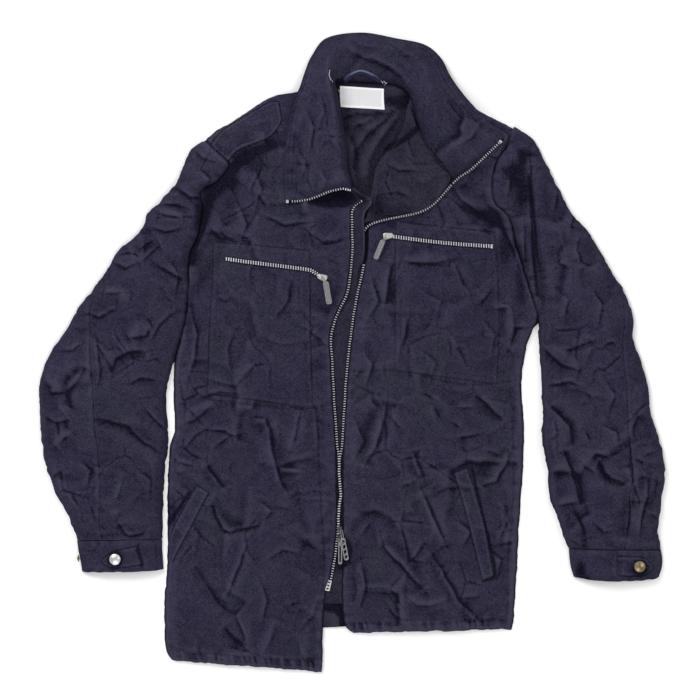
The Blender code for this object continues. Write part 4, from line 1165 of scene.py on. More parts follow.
# %% Shape the sleeves
def sleeve(side, rows, folds, creases, painted_shade):
    """Both pieces of a sleeve; returns them and the line of the seam between them."""
    fine = fine_rows(rows, ("outer", "inner"), THREADS)
    outer = wavering(points(fine, "outer"), 15, 0.9)
    inner = wavering(points(fine, "inner"), 17, 0.8)
    outer[:, 2] = inner[:, 2] = 0
    width = np.linalg.norm(inner - outer, axis=1)[:, None]
    seam = fine["seam"][:, None]
    turn = (1 - np.cos(math.pi * even(1.2 * width.max()))) / 2
    top_shares = seam + (1 - seam) * turn
    wrap_shares = seam * (1 - np.cos(math.pi / 2 * even(0.5 * width.max())))
    from_end = lengths((outer + inner) / 2)[::-1, None]
    run = lengths(outer)[:, None]

    def laid(shares):
        grid = outer[:, None] * (1 - shares[..., None]) + inner[:, None] * shares[..., None]
        swell = (2 * np.sqrt(shares * (1 - shares))) ** SLEEVE_ARCH
        base = FLOOR + (fine["inner_z"][:, None] - FLOOR) * shares
        grid[..., 2] = base + fine["crown"][:, None] * swell + FLOOR
        x, y = grid[..., 0], grid[..., 1]
        hold = np.clip(np.minimum(shares, 1 - shares) / 0.08, 0, 1)
        grid = folded(grid, folds, hold)
        near_fold = np.minimum(shares, 1 - shares) * width
        loose = eased(near_fold, 14) * eased(from_end + 4, 14)
        grid[..., 2] += loose * crumpled(x, y) * 1.1
        grid[..., 2] += eased(near_fold, 6) * creased(x, y, creases)
        from_seam = np.abs(shares - seam) * width
        drawn = ripple(run, 7, 31) * np.exp(-((from_seam - 4) / 6) ** 2)
        shown = eased(near_fold, 10)
        grid[..., 2] += shown * (0.4 * drawn - 0.9 * np.exp(-(from_seam / 1.5) ** 2))
        return grid

    top = laid(top_shares)
    lies = np.clip((6 - fine["inner_z"]) / 3, 0, 1)[:, None]
    from_inner = (1 - top_shares) * width
    rolled = 0.3 + (top[..., 2] - 0.3) * quarter(from_inner, 5)
    drawn = ripple(lengths(inner)[:, None], 6.5, 33) * np.exp(-((from_inner - 4) / 6) ** 2)
    sunk = top[..., 2] + 0.5 * drawn - 1.3 * np.exp(-(from_inner / 1.8) ** 2)
    top[..., 2] = lies * rolled + (1 - lies) * sunk
    wrap = laid(wrap_shares)
    wrap[..., 2] *= quarter(wrap_shares * width + 0.02, 1.2)
    floor = span(inner, outer, even(width.max(), 8))[:, :-1]
    floor[..., 2] = 0.15
    under = np.concatenate([floor, wrap], axis=1)
    tuck = top[0] - top[3]
    tuck *= min(6, 0.5 * width[0, 0]) / np.linalg.norm(tuck, axis=1)[:, None]
    top = np.concatenate([top[:1] + tuck - (0, 0, 2.5), top])
    over = sheet(f"sleeve_top_{side}_cloth", top, NAVY, "right",
                 wear_and_shade=shaded(top, proudness(top), painted_shade))
    below = sheet(f"sleeve_under_{side}_cloth", under, NAVY)
    return [over, below], top


# %% The two sleeves
# Painted shade along the armhole seams, and in the folds and along the seam of the left forearm.
SLEEVE_RIGHT_PAINTED_SHADE = [(-212, 190, 6, 26, 0.4)]
SLEEVE_LEFT_PAINTED_SHADE = [
    (240, 272, 9, 13, 0.6), (226, 250, 14, 16, 0.7), (237, 224, 13, 20, 0.5),
    (240, 110, 7, 40, 0.35), (397, -215, 7, 45, 0.4),
    ([(245, 252), (247, 228), (250, 187), (253, 140), (259, 80)], 2.2, 0.9),
    ([(387, -115), (389, -155), (392, -176), (389, -210), (385, -262)], 1.8, 1.3),
    ([(411, -168), (408, -192), (402, -214), (399, -235), (397, -264)], 2.8, 0.7),
    ([(295, -135), (306, -160), (312, -180), (321, -208)], 2.2, 0.7),
    ([(343, -148), (351, -164), (362, -178), (381, -182)], 2.0, 0.6),
    ([(307, -215), (318, -235), (322, -260), (327, -275)], 3.2, 0.5),
]
right_sleeve, right_sleeve_grid = sleeve("right", SLEEVE_RIGHT, SLEEVE_RIGHT_FOLDS, SLEEVE_RIGHT_CREASES,
                                         SLEEVE_RIGHT_PAINTED_SHADE)
left_sleeve, left_sleeve_grid = sleeve("left", SLEEVE_LEFT, SLEEVE_LEFT_FOLDS, SLEEVE_LEFT_CREASES,
                                       SLEEVE_LEFT_PAINTED_SHADE)
for grid in (right_sleeve_grid, left_sleeve_grid):      # the long seam is topstitched on the forearm
    THREAD_LINES.append(beside_edge(grid, 2.2, 0)[int(len(grid) * 0.42):])

# %% [markdown]
# ## The cuffs
# A cuff is a stiff band, sewn twice along both edges, round the end of the sleeve. Its tab ends
# in a point with a snap. The band keeps its shape better than the sleeve, so it gets less
# crumple and more drawn thread.

# %% The cuffs and their tabs
CUFF = "outer_x outer_y inner_x inner_y crown"
CUFF_RIGHT = table(CUFF, """
-384 -261.7 -265 -258.6 12
-382 -276 -265 -272 11
-379 -290 -264 -287 11
-377 -305 -263 -302 9
""")
CUFF_LEFT = table(CUFF, """
433 -274.7 304 -272.6 12
435 -288 305 -286 11
434 -300 307 -299 11
430 -313 311 -312 9
""")
TAB_RIGHT = table(STRIP, """
-349 -288 -349 -291
-342 -281 -341 -297
-333 -275 -331 -300
-316 -271 -312 -298
-301 -268 -293 -295
""")
TAB_LEFT = table(STRIP, """
371 -282 371 -310
390 -282 390 -311
408 -284 408 -311
415 -290 415 -307
422 -297 422 -301
""")


def cuff(side, rows, sag, seams, painted_shade):
    """A ring of cloth round the sleeve's end, turned in at its mouth, which sags in the middle."""
    seams = [curve(path) for path in seams]
    fine = fine_rows(rows, ("outer", "inner"), 1.4)
    outer, inner = points(fine, "outer"), points(fine, "inner")
    width = np.linalg.norm(inner - outer, axis=1)
    shares = (1 - np.cos(math.pi * even(1.25 * width.max()))) / 2
    top = span(outer, inner, shares)
    down = lengths((outer + inner) / 2)[:, None]
    lower = eased(down - 0.35 * down[-1], 0.65 * down[-1])
    top[..., 1] -= (sag * np.sin(math.pi * shares) ** 0.6 + 0.7 * ripple(shares * width.max(), 9, 43)) * lower
    swell = (2 * np.sqrt(shares * (1 - shares))) ** SLEEVE_ARCH
    top[..., 2] = FLOOR + fine["crown"][:, None] * swell + 0.8 * swell
    x, y = top[..., 0], top[..., 1]
    loose = eased(np.minimum(shares, 1 - shares) * width.max(), 8)
    across_cuff = ripple(shares * width.max(), 6.0, 41)
    sewn_at = (3.0, down[-1, 0] - 3.5)
    for line in sewn_at:
        top[..., 2] += loose * (0.45 * across_cuff * np.exp(-((down - line) / 5) ** 2)
                                - 0.35 * np.exp(-((down - line) / 1.1) ** 2))
    top[..., 2] += loose * 0.45 * crumpled(x, y) - 0.9 * (1 - quarter(down, 2.0)) + sewn(x, y, seams, 0.9)
    back_shares = even(width.max(), 8)
    floor = span(inner, outer, back_shares)
    floor[..., 1] -= sag * np.sin(math.pi * back_shares) ** 0.6 * lower
    floor[..., 2] = 0.1
    grid = np.concatenate([top, floor[:, 1:-1]], axis=1)
    mouth = grid[-1].copy()
    middle = mouth.mean(axis=0)
    lift = np.where(mouth[:, 2] > 2, -1.2, 1.2)
    inside = []
    for depth, inset in ((0.4, 0.35), (1.2, 0.8), (4.0, 1.1), (14.0, 1.3)):
        line = mouth + (grid[0] - mouth) * depth / 40
        line[:, :2] += (middle[:2] - line[:, :2]) * 0.012 * inset
        line[:, 2] += lift * inset
        inside.append(line)
    grid = np.concatenate([grid, inside], axis=0)
    item = sheet(f"cuff_{side}_cloth", grid, NAVY, ring=True,
                 wear_and_shade=shaded(grid, proudness(grid), painted_shade))
    upper = grid[:, :len(shares)]
    lines = [upper[np.argmin(np.abs(down - at)), 6:-6, :2] for at in sewn_at]
    return item, lines + seams


# The last list of each cuff is painted shade: by the end of the right tab and at the left cuff's inner end.
cuff_right, cuff_lines = cuff("right", CUFF_RIGHT, 1.0, [[(-300, -265), (-292, -294)]],
                              [(-297, -275, 3, 12, 0.5), (-293, -290, 3, 10, 0.5)])
cuff_left, more_lines = cuff("left", CUFF_LEFT, 5.0,
                             [[(371.5, -279), (371.5, -310)], [(375, -279), (375, -310)]],
                             [(320, -303, 7, 12, 0.6), (329, -316, 4, 6, 0.6)])
CUFF_LINES = cuff_lines + more_lines


# %% Pieces sewn on top of others
def sewn_on(name, rows, below, lift=PATCH, inset=(2.2,), level=3, open_ends="", edge_shade=0.9, painted_shade=()):
    """A piece laid on the cloth below it. Returns it with its lines of thread, inset from its edge."""
    fine = fine_rows(rows, ("left", "right"), min(THREADS, 1.5))
    left, right = points(fine, "left"), points(fine, "right")
    width = np.linalg.norm(right - left, axis=1)[:, None]
    shares = even(width.max(), min(THREADS, 1.5))
    grid = span(left, right, shares)
    under = ground(search(below), grid)
    run = lengths((left + right) / 2)[:, None]
    edge = np.minimum(shares, 1 - shares) * width
    for end, distance in (("top", run), ("bottom", run[-1] - run)):
        if end not in open_ends:
            edge = np.minimum(edge, distance)
    top = np.maximum(blurred(under, level), under + 0.1) + lift
    bed = under + 0.15
    grid[..., 2] = bed + (top - bed) * quarter(edge + 0.15, 1.5)
    drawn = ripple(run + 1.7 * shares * width, 5.0, len(SHEETS)) * np.exp(-((edge - 3) / 4) ** 2)
    grid[..., 2] += 0.22 * drawn * quarter(edge, 2)
    for distance in inset:
        grid[..., 2] -= 0.3 * np.exp(-((edge - distance) / 0.9) ** 2)
    # A line of painted shade along the edge, and a slightly paler band 3 mm inside it.
    wear_and_shade = proudness(grid) - edge_shade * (np.exp(-(edge / 1.3) ** 2) - 0.28 * np.exp(-((edge - 3) / 1.5) ** 2))
    item = sheet(name, grid, NAVY, wear_and_shade=shaded(grid, wear_and_shade, painted_shade))
    lines = []
    for distance in inset:
        first = int(np.argmin(np.abs(run[:, 0] - distance)))
        last = int(np.argmin(np.abs(run[-1, 0] - run[:, 0] - distance)))
        columns = [int(round(distance / max(width.min(), 1) * (len(shares) - 1)))]
        columns.append(len(shares) - 1 - columns[0])
        round_it = [grid[first:last + 1, columns[0], :2], grid[last, columns[0]:columns[1] + 1, :2],
                    grid[last:first - 1 if first else None:-1, columns[1], :2]]
        if "top" not in open_ends:
            round_it.append(grid[first, columns[1]:columns[0] - 1 if columns[0] else None:-1, :2])
        lines.append(np.vstack(round_it))
    return item, lines


# Each tab gets a ring of painted shadow round its snap.
CUFF_LINES += sewn_on("cuff_tab_right_cloth", TAB_RIGHT, [cuff_right], open_ends="bottom",
                      painted_shade=[(-329, -286, 11.5, 11.5, 0.9)])[1]
CUFF_LINES += sewn_on("cuff_tab_left_cloth", TAB_LEFT, [cuff_left], open_ends="top",
                      painted_shade=[(402, -299.5, 12, 12, 0.9)])[1]

# %% [markdown]
# ## Pockets, welts and shoulder straps
# The chest pockets are single layers stitched to the fronts, so only their sewn outline and the
# puckers beside it show. The welts of the hand pockets and the straps on the shoulders are
# folded double and stand a little prouder.

# %% Everything sewn on the fronts and shoulders
POCKET_RIGHT = table(STRIP, """
-193 157 -58 144
-195 100 -57 88
-199 30 -56 10
-201 -38 -54 -60
-203 -56 -52 -77
""")
POCKET_LEFT = table(STRIP, """
61 184 200 170
60 130 204 116
60 60 206 45
60 -8 204 -26
60 -24 203 -43
""")
WELT_RIGHT = table(STRIP, """
-216 -183 -198 -193
-229 -206 -211 -218
-242 -229 -224 -243
-252 -250 -238 -268
-254 -272 -250 -292
""")
WELT_LEFT = table(STRIP, """
142 -166 162 -158
154 -206 175 -199
166 -252 188 -250
182 -317 199 -310
""")
EPAULETTE_RIGHT = table(STRIP, """
-198 291 -172 268
-181 312 -156 284
-156 328 -132 293
-131 343 -113 302
-113 352 -103 313
-101 352 -97 326
""")
EPAULETTE_LEFT = table(STRIP, """
222 305 204 271
206 315 187 277
183 330 165 290
160 343 148 306
""")
pocket_right, lines = sewn_on("chest_pocket_right_cloth", POCKET_RIGHT, [front_right], 0.45, (2.5, 8.5),
                              level=1, edge_shade=0.35)
THREAD_LINES += lines
pocket_left, lines = sewn_on("chest_pocket_left_cloth", POCKET_LEFT, [front_left], 0.45, (2.5, 8.5),
                             level=1, edge_shade=0.3)
THREAD_LINES += lines
for name, rows, below, inset in (
        ("welt_right", WELT_RIGHT, [front_right], (2.0,)),
        ("welt_left", WELT_LEFT, [front_left], (2.0,)),
        ("epaulette_right", EPAULETTE_RIGHT, [front_right, *right_sleeve], (2.0, 6.5)),
        ("epaulette_left", EPAULETTE_LEFT, [front_left, *left_sleeve], (2.0, 6.5))):
    THREAD_LINES += sewn_on(name + "_cloth", rows, below, 1.7, inset)[1]

# %% [markdown]
# ## The lapel and the collar
# The left front is turned out at the neck, so its darker facing shows as a lapel on top of it.
# The collar stands up from the neck seam, rolls over and falls to its outer edge. Both are
# lofted between lines that run round the neck, and laid on what is below them.

# %% Sections of the lapel and the collar
LAPEL = table("roll_x roll_y roll_z far_x far_y far_z crown", """
81 346 6.5 84 338 9 0.5
74 324 7.5 90 319 12 2
62 299 9 99 297 13.5 3
47 279 10 111 277 14.5 4
34 260 10.5 125 259 15 4.5
29 239 10.5 138 242 15.5 5
26 220 10 112 208 15 4
24 204 9 89 197 14 3.5
22 192 8.5 50 190 12 1.5
17 182 8 30 184.5 10 0.5
""")
LAPEL_CREASES = crease_table("""
5 2.0  47 264  68 254  96 254
4.5 1.8  82 320  79 292  89 264
4.5 1.6  40 222  65 226  85 215
""")
COLLAR_CLOTH = 2.2
COLLAR = table("neck_x neck_y neck_z roll_x roll_y roll_z edge_x edge_y edge_z", """
1 229 9 -13 232 18 -90 214 13
-2 246 8 -15 254 21 -93 243 14
-6 271 8 -18 279 24 -92 278 15
-10 302 8 -22 306 26 -88 316 15
-15 330 7 -24 335 26 -82 345 14
-19 354 6.5 -29 359 26 -71 370 12
-22 376 5 -33 388 25 -64 391 8
-14 379 4 -30 414 23 -54 415 4
-2 379 4 -13 429 20 -33 440 3
20 378 4 23 428 18 15 447 3
46 377 4 62 422 19 62 439 3
65 373 5 90 411 22 102 430 3
80 361 7 104 388 25 124 411 5
87 343 9 108 366 27 136 387 9
93 321 12 113 344 27 153 362 13
102 299 14 120 318 26 172 340 15
114 279 15 134 296 24 187 324 16
128 261 16 149 275 21 200 312 16
141 244 16 162 255 18 209 300 15
""")
COLLAR_CREASES = crease_table("""
4.5 1.8  -64 341  -52 313  -58 278
4.5 1.6  -75 285  -64 264  -72 232
4.5 1.6  -44 362  -38 334  -47 306
5 2.0  -9 430  1 419  19 412  47 402  68 388  82 369
4.5 1.6  131 358  141 338  155 324
4.5 1.6  177 316  166 299  149 290
4.5 1.6  40 433  65 425  85 411
4 1.4  -44 257  -33 240  -41 226
""")


# %% Shape the lapel
# Painted shade where the lapel meets the flap, and inside the neck.
LAPEL_PAINTED_SHADE = [(34, 206, 12, 14, 0.5), (60, 196, 30, 10, 0.25), NECK_SHADE]


def make_lapel():
    """The turned-out part of the left front, from its fold to its free edge."""
    fine = fine_rows(LAPEL, ("roll", "far"), THREADS)
    roll, far = points(fine, "roll"), points(fine, "far")
    width = np.linalg.norm(far - roll, axis=1)[:, None]
    shares = even(width.max())
    grid = span(roll, far, shares)
    grid[..., 2] += fine["crown"][:, None] * np.sin(math.pi * shares) ** ARCH + FLOOR
    x, y = grid[..., 0], grid[..., 1]
    from_edge = np.minimum(shares, 1 - shares) * width
    grid[..., 2] += eased(from_edge, 14) * (0.8 * crumpled(x, y) + creased(x, y, LAPEL_CREASES))
    drawn = ripple(lengths(far)[:, None], 6, 51) * np.exp(-(((1 - shares) * width - 4) / 5) ** 2)
    grid[..., 2] += 0.4 * drawn
    under = ground(search([front_left, pocket_left]), grid)
    grid[..., 2] = np.maximum(grid[..., 2], blurred(under, 2) + CLOTH)
    wear_and_shade = shaded(grid, proudness(grid), LAPEL_PAINTED_SHADE)
    return sheet("lapel_left_cloth", grid, INSIDE, "left right", wear_and_shade=wear_and_shade), grid


lapel, lapel_grid = make_lapel()


# %% Shape the collar
def make_collar():
    """Lines from the neck seam up over the roll and down to the outer edge."""
    fine = fine_rows(COLLAR, ("neck", "roll", "edge"), THREADS)
    neck, roll, edge = (points(fine, end) for end in ("neck", "roll", "edge"))
    stand = even(34)[:, None]
    leaf = even(78)[1:, None]
    lines = []
    for base, top, rim in zip(neck, roll, edge):
        rise = base + (top - base) * np.hstack([stand ** 1.3, stand ** 1.3, 1 - (1 - stand) ** 1.6])
        fall = top + (rim - top) * np.hstack([leaf, leaf, leaf ** 1.5])
        lines.append(np.vstack([rise, fall]))
    grid = np.array(lines)
    across = 1 - np.linspace(0, 1, grid.shape[1] - len(stand))
    near_tip = np.exp(-(lengths(roll) / 26) ** 2)[:, None]
    grid[:, len(stand):, 1] -= 4.2 * near_tip * np.sin(math.pi * np.clip(across / 0.75, 0, 1))
    face = np.cross(np.gradient(grid, axis=0), np.gradient(grid, axis=1))
    face /= np.maximum(np.linalg.norm(face, axis=2), 1e-9)[..., None]
    if face[:, -5:, 2].mean() < 0:
        face = -face
    rows, columns = grid.shape[:2]
    along = np.tile(lengths(roll)[:, None], (1, columns))
    down = np.cumsum(np.linalg.norm(np.diff(grid, axis=1, prepend=grid[:, :1]), axis=2), axis=1)
    from_rim = down[:, -1:] - down
    from_end = np.minimum(along, along[-1] - along)
    loose = eased(from_rim, 12) * eased(from_end, 14) * eased(down, 6)
    height = loose * 0.75 * crumpled(along + 400, down * 1.2 + 300)
    height += eased(from_rim, 6) * creased(grid[..., 0], grid[..., 1], COLLAR_CREASES)
    drawn = ripple(along, 6, 61)
    for line in (5.0, 11.0):
        height += 0.3 * drawn * np.exp(-((from_rim - line) / 4) ** 2)
        height -= 0.35 * np.exp(-((from_rim - line) / 1.1) ** 2)
    grid += face * (height + COLLAR_CLOTH / 2)[..., None]
    leaf_from = len(stand)
    under = ground(search([front_right, front_left, lapel, *right_sleeve, *left_sleeve]
                          + [SHEETS[f"epaulette_{side}_cloth"] for side in ("right", "left")]),
                   grid[:, leaf_from:])
    grid[:, leaf_from:, 2] = np.maximum(grid[:, leaf_from:, 2], blurred(under, 2) + COLLAR_CLOTH)
    wear_and_shade = proudness(grid)
    wear_and_shade[:, :leaf_from] -= 0.15
    item = sheet("collar_cloth", grid, NAVY, "top bottom right", thick=COLLAR_CLOTH, wear_and_shade=wear_and_shade)
    lines = []
    for distance in (5.0, 11.0):
        column = np.argmin(np.abs(from_rim[rows // 2] - distance))
        lines.append(grid[4:-4, column, :2])
    return item, grid, lines


collar, collar_grid, lines = make_collar()
THREAD_LINES += lines

# %% [markdown]
# ## The front zip
# The zip is open, so each half shows its row of metal teeth on a strip of navy tape beside the
# front, the lapel and the collar. One tooth is modelled and set along the strips at an even
# pitch, as the maker's machine does. A flap of cotton lies behind the teeth.

# %% Flap, tapes and the edges that they follow
EDGE_GAP, CHAIN_WIDTH = 0.6, 4.0
FLY = table(STRIP + " z lift", """
-2 229 2 231 9.0 2.0
3 222 14 222 8.4 3.5
6 216 24.5 217 8.2 4.5
2 210 28 210.5 8.0 4.5
-3 204 24.5 204.5 7.8 4.0
-4 197 19 198 7.6 3.0
-3 188 17 189 7.4 2.5
-2 176 17 177 7.4 2.0
-2 159 18 159 7.4 1.0
-2 134 16 131 6.4 0.4
-5 114 9 117 5.2 0
-10 86 7 86 4.0 0
-28 40 6 44 3.2 0
-34 12 5 8 2.9 0
-33 -65 -2 -65 2.9 0
-30 -135 -5 -135 2.9 0
-27 -205 -5 -205 2.9 0
-30 -261 -6 -261 2.9 0
-38 -310 -8 -310 2.9 0
-43 -349 -9 -349 2.9 0
""")


def level_beside(edge, side):
    """Level directions square to an edge: `side` is 1 to the left of its run from above, or -1."""
    run = np.gradient(edge[:, :2], axis=0)
    run /= np.linalg.norm(run, axis=1)[:, None]
    return side * np.column_stack([-run[:, 1], run[:, 0], np.zeros(len(run))])


def softened(line, rounds=6):
    """A line with its small kinks evened out; its ends stay."""
    line = line.copy()
    for _ in range(rounds):
        line[1:-1] = (line[:-2] + 2 * line[1:-1] + line[2:]) / 4
    return line


def make_fly():
    """A flap whose outer edge stands up a little at the neck, with a painted highlight along it."""
    fine = fine_rows(FLY, ("left", "right"), 1.7)
    left, right = points(fine, "left"), points(fine, "right")
    width = np.linalg.norm(right - left, axis=1)[:, None]
    shares = even(34, 1.7)
    grid = span(left, right, shares)
    x, y = grid[..., 0], grid[..., 1]
    grid[..., 2] = fine["z"][:, None] + FLOOR + 0.25 * crumpled(x, y)
    grid[..., 2] += fine["lift"][:, None] * shares ** 2
    # Painted highlight along the lifted edge (rim), and painted shade at the neck and behind the ladder pull.
    rim = np.exp(-((1 - shares) * width / 1.6) ** 2) * np.clip(fine["lift"][:, None], 0, 1)
    wear_and_shade = shaded(grid, proudness(grid), [(8, 216, 17, 9, 0.6), (-12, -276, 12, 24, 1.2)]) + 0.6 * rim
    sheet("zip_fly_cloth", grid, INSIDE, "left right bottom", wear_and_shade=np.clip(wear_and_shade, 0, 1))


def smoothed_start(places, after):
    """The first stretch of a run, where it bends away from the panel's own edge."""
    line = curve([*places, tuple(after[:2])], THREADS)
    return np.column_stack([line, np.full(len(line), after[2])])[:-1]


make_fly()
right_line, left_line = right_grid[:, -1], left_grid[:, -1]
lapel_end = curve([tuple(lapel_grid[-1, -1, :2]), (23, 182.5), (18, 178.5), (15, 172)], THREADS)
lapel_run = np.vstack([lapel_grid[int(0.60 * len(lapel_grid)):, -1],
                       np.column_stack([lapel_end, np.linspace(10.5, 6.5, len(lapel_end))])[1:]])
collar_run = collar_grid[-1, 4:][::-1]
outline = softened(np.vstack([collar_run, lapel_run]), 30)
collar_run, lapel_run = outline[:len(collar_run)], outline[len(collar_run) - 1:]
right_run = right_line[(right_line[:, 1] < 202) & (right_line[:, 1] > -317)]
right_run = np.vstack([smoothed_start([(14.5, 215.5), (9, 213), (4, 209.5), (1.2, 205)], right_run[0]),
                       right_run])
left_run = left_line[(left_line[:, 1] < 180) & (left_line[:, 1] > -266)]
RUNS = {        # each edge, the side of its run on which the tape lies, and the edge it is zipped to
    "zip_right_front": (right_run, 1, left_line),
    "zip_left_front": (left_run, -1, right_line),
    "zip_right_collar": (collar_grid[0, len(even(34)) // 4:], 1, None),
    "zip_left_collar": (collar_run, 1, None),
    "zip_left_lapel": (lapel_run, 1, None),
}
JOINED = (-125, -262)       # the zip is closed between these heights


def beside_run(edge, side, partner):
    """The line of the teeth: beside an edge, or half-way to the other edge where the zip is closed."""
    out = level_beside(edge, side)
    middle = edge + out * (EDGE_GAP + 0.5 * CHAIN_WIDTH)
    if partner is not None:
        across = np.interp(-edge[:, 1], -partner[:, 1], partner[:, 0])
        joined = eased(JOINED[0] - edge[:, 1], 28) * eased(edge[:, 1] - JOINED[1], 14)
        closed = 0.5 * (edge[:, 0] + across) - side * 0.4
        closed += np.interp(-edge[:, 1], (125, 165, 198, 216, 233, 262), (0, -0.6, 1.4, -1.6, -2.0, -2.0))
        middle[:, 0] += joined * (closed - middle[:, 0])
    return middle, out


def tape(name, edge, side, partner):
    """Lays tape beside an edge; returns the line on which the teeth sit."""
    edge = softened(edge)
    middle, out = beside_run(edge, side, partner)
    under, beyond = edge - out * 3.0, middle + out * 1.5
    grid = np.stack([under + (beyond - under) * share - (0, 0, 0.9) for share in (0, 0.4, 0.7, 1)], axis=1)
    grid[:, 0, 2] -= 0.6
    sheet(name + "_tape", grid, TAPE, "right", thick=0.7, node=name)
    return middle - (0, 0, 0.5)


# %% One tooth, set along every line
def block(length, width, height, taper=0.25):
    """Corners and faces of a small bar with a bevelled top, its middle at the origin."""
    corners = []
    for z, shrink in ((-0.5, 0.0), (0.18, 0.0), (0.5, taper)):
        for x, y in ((-0.5, -0.5), (0.5, -0.5), (0.5, 0.5), (-0.5, 0.5)):
            inset = shrink * min(length, width)
            corners.append((x * length - math.copysign(inset, x), y * width - math.copysign(inset, y),
                            z * height))
    faces = [(a + level, (a + 1) % 4 + level, (a + 1) % 4 + 4 + level, a + 4 + level)
             for level in (0, 4) for a in range(4)]
    return np.array(corners), faces + [(8, 9, 10, 11), (3, 2, 1, 0)]


def set_along(name, template, places, ways, finish, ups=None, body="jacket"):
    """Copies of a small piece in one mesh, each at a place and turned along its way."""
    corners, faces = template
    places, ways = np.asarray(places, float), np.asarray(ways, float)
    ups = np.tile((0.0, 0.0, 1.0), (len(places), 1)) if ups is None else np.asarray(ups, float)
    ways = ways / np.linalg.norm(ways, axis=1)[:, None]
    asides = np.cross(ups, ways)
    asides /= np.linalg.norm(asides, axis=1)[:, None]
    ups = np.cross(ways, asides)
    turned_corners = (corners[None, :, 0:1] * ways[:, None] + corners[None, :, 1:2] * asides[:, None]
                      + corners[None, :, 2:3] * ups[:, None] + places[:, None])
    first = np.arange(len(places))[:, None, None] * len(corners)
    all_faces = (np.array([f for f in faces if len(f) == 4])[None] + first).reshape(-1, 4).tolist()
    item = new_piece(name, turned_corners.reshape(-1, 3), all_faces, finish, body)
    item.data.shade_flat()
    return item


def stations(line, pitch, start=0.0):
    """Places an even pitch apart on a line, and the way that it runs there."""
    run = lengths(line)
    at = np.arange(start + pitch / 2, run[-1], pitch)
    places, ahead, behind = (
        np.stack([np.interp(at + step, run, line[:, axis]) for axis in range(3)], axis=-1)
        for step in (0, 0.5, -0.5))
    return places, ahead - behind


TOOTH_PITCH = 3.5       # a little wider than the real one, so that single teeth show from afar
MESHED = 0.12 * TOOTH_PITCH     # how far one row is ahead of the other
tooth = block(1.25, 3.2, 2.1, 0.2)
stop = block(3.6, 4.2, 2.4, 0.25)
tooth_count, phase = 0, 0.0
for name, (edge, side, partner) in RUNS.items():
    line = tape(name, edge, side, partner)
    start = 0.0
    if partner is not None:         # the halves mesh: one half's teeth follow just behind the other's
        so_far = np.interp(200, -line[:, 1], lengths(line))
        if name == "zip_right_front":
            phase = so_far % TOOTH_PITCH + MESHED
        else:
            start = (so_far - phase) % TOOTH_PITCH
    places, ways = stations(line, TOOTH_PITCH, start)
    if name in ("zip_right_collar", "zip_left_collar"):     # a cast stop closes the run at the tip
        last = -1 if name == "zip_right_collar" else 1
        end = set_along(name + "_stop", stop, places[[last]] + (0, 0, 0.3), ways[[last]], NICKEL)
        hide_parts(name)
        places, ways = (part[:-2] if last < 0 else part[2:] for part in (places, ways))
    if name == "zip_left_front":        # the upper teeth lie hidden under the flap
        hidden = places[:, 1] > 126
        places, ways = places[~hidden], ways[~hidden]
    teeth = set_along(name + "_teeth", tooth, places, ways, TEETH)
    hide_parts(name)
    tooth_count += len(places)
print(tooth_count, "teeth along the open zip")

# %% [markdown]
# ## The chest zips
# These are closed, so both rows of teeth mesh in one narrow chain, on tape that lies on the
# pocket. The rows lie side by side, one a little ahead of the other.

# %% Closed chains
CHEST_ZIP_RIGHT = table("x y", [(-176, 132), (-142, 127), (-86, 120), (-60, 116.5), (-52, 113), (-45, 108.5)])
CHEST_ZIP_LEFT = table("x y", [(57, 163), (110, 156), (152, 152), (197, 149)])


def closed_zip(side, rows, below):
    """Tape and two rows of teeth along a line; returns the lines that sew the pocket beside it."""
    fine = fine_rows({**rows, "m_x": rows["x"], "m_y": rows["y"]}, ("m",), 2.0)
    line = np.stack([fine["x"], fine["y"], 0 * fine["x"]], axis=-1)
    out = level_beside(line, 1)
    offsets = np.array([-3.6, -3.0, -1.6, 0, 1.6, 3.0, 3.6])
    grid = line[:, None] + out[:, None] * offsets[None, :, None]
    bed = ground(search(below), grid)
    bed[:] = bed.mean(axis=1)[:, None]
    bed = blurred(bed, 2)
    grid[..., 2] = bed + np.array([0.0, 0.5, 0.7, 0.7, 0.7, 0.5, 0.0]) + 0.3
    sheet(f"chest_zip_{side}_tape", grid, TAPE, node="chest_zip_" + side)
    middle = grid[:, 3] + (0, 0, 0.9)
    for number, way in ((0, 1), (1, -1)):
        places, ways = stations(middle + out * 1.35 * way, TOOTH_PITCH, MESHED * number)
        teeth = set_along(f"chest_zip_{side}_teeth_{number + 1}", block(1.65, 2.5, 1.7, 0.2), places, ways,
                          TEETH)
        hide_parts("chest_zip_" + side)
    if side == "left":      # the far stop of this one shows
        end = set_along("chest_zip_left_stop", block(3.2, 5.6, 2.4, 0.3), middle[[-2]] + (0, 0, 0.4),
                        middle[[-1]] - middle[[-2]], NICKEL)
        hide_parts("chest_zip_left")
    return [line[2:-2, :2] + out[2:-2, :2] * 6.0 * way for way in (-1, 1)]


THREAD_LINES += closed_zip("right", CHEST_ZIP_RIGHT, [front_right, pocket_right])
THREAD_LINES += closed_zip("left", CHEST_ZIP_LEFT, [front_left, pocket_left])

# %% [markdown]
# ## Sliders, pulls and the end pin
# The sliders are cast pieces with rounded corners, and the pulls are flat bars with slots,
# which hang on small links. Each is drawn as an outline, given depth and bevelled. A pull and
# its link ride on a body of their own, because they can turn up about the slider's bridge.

# %% Outlines with depth
def rounded(width, length, radius, corner_steps=5):
    """The outline of a plate with rounded corners, its middle at the origin."""
    outline = []
    for sign_x, sign_y, begin in ((1, 1, 0), (-1, 1, 90), (-1, -1, 180), (1, -1, 270)):
        centre = (sign_x * (width / 2 - radius), sign_y * (length / 2 - radius))
        for angle in np.radians(np.linspace(begin, begin + 90, corner_steps)):
            outline.append((centre[0] + radius * math.cos(angle), centre[1] + radius * math.sin(angle)))
    return outline


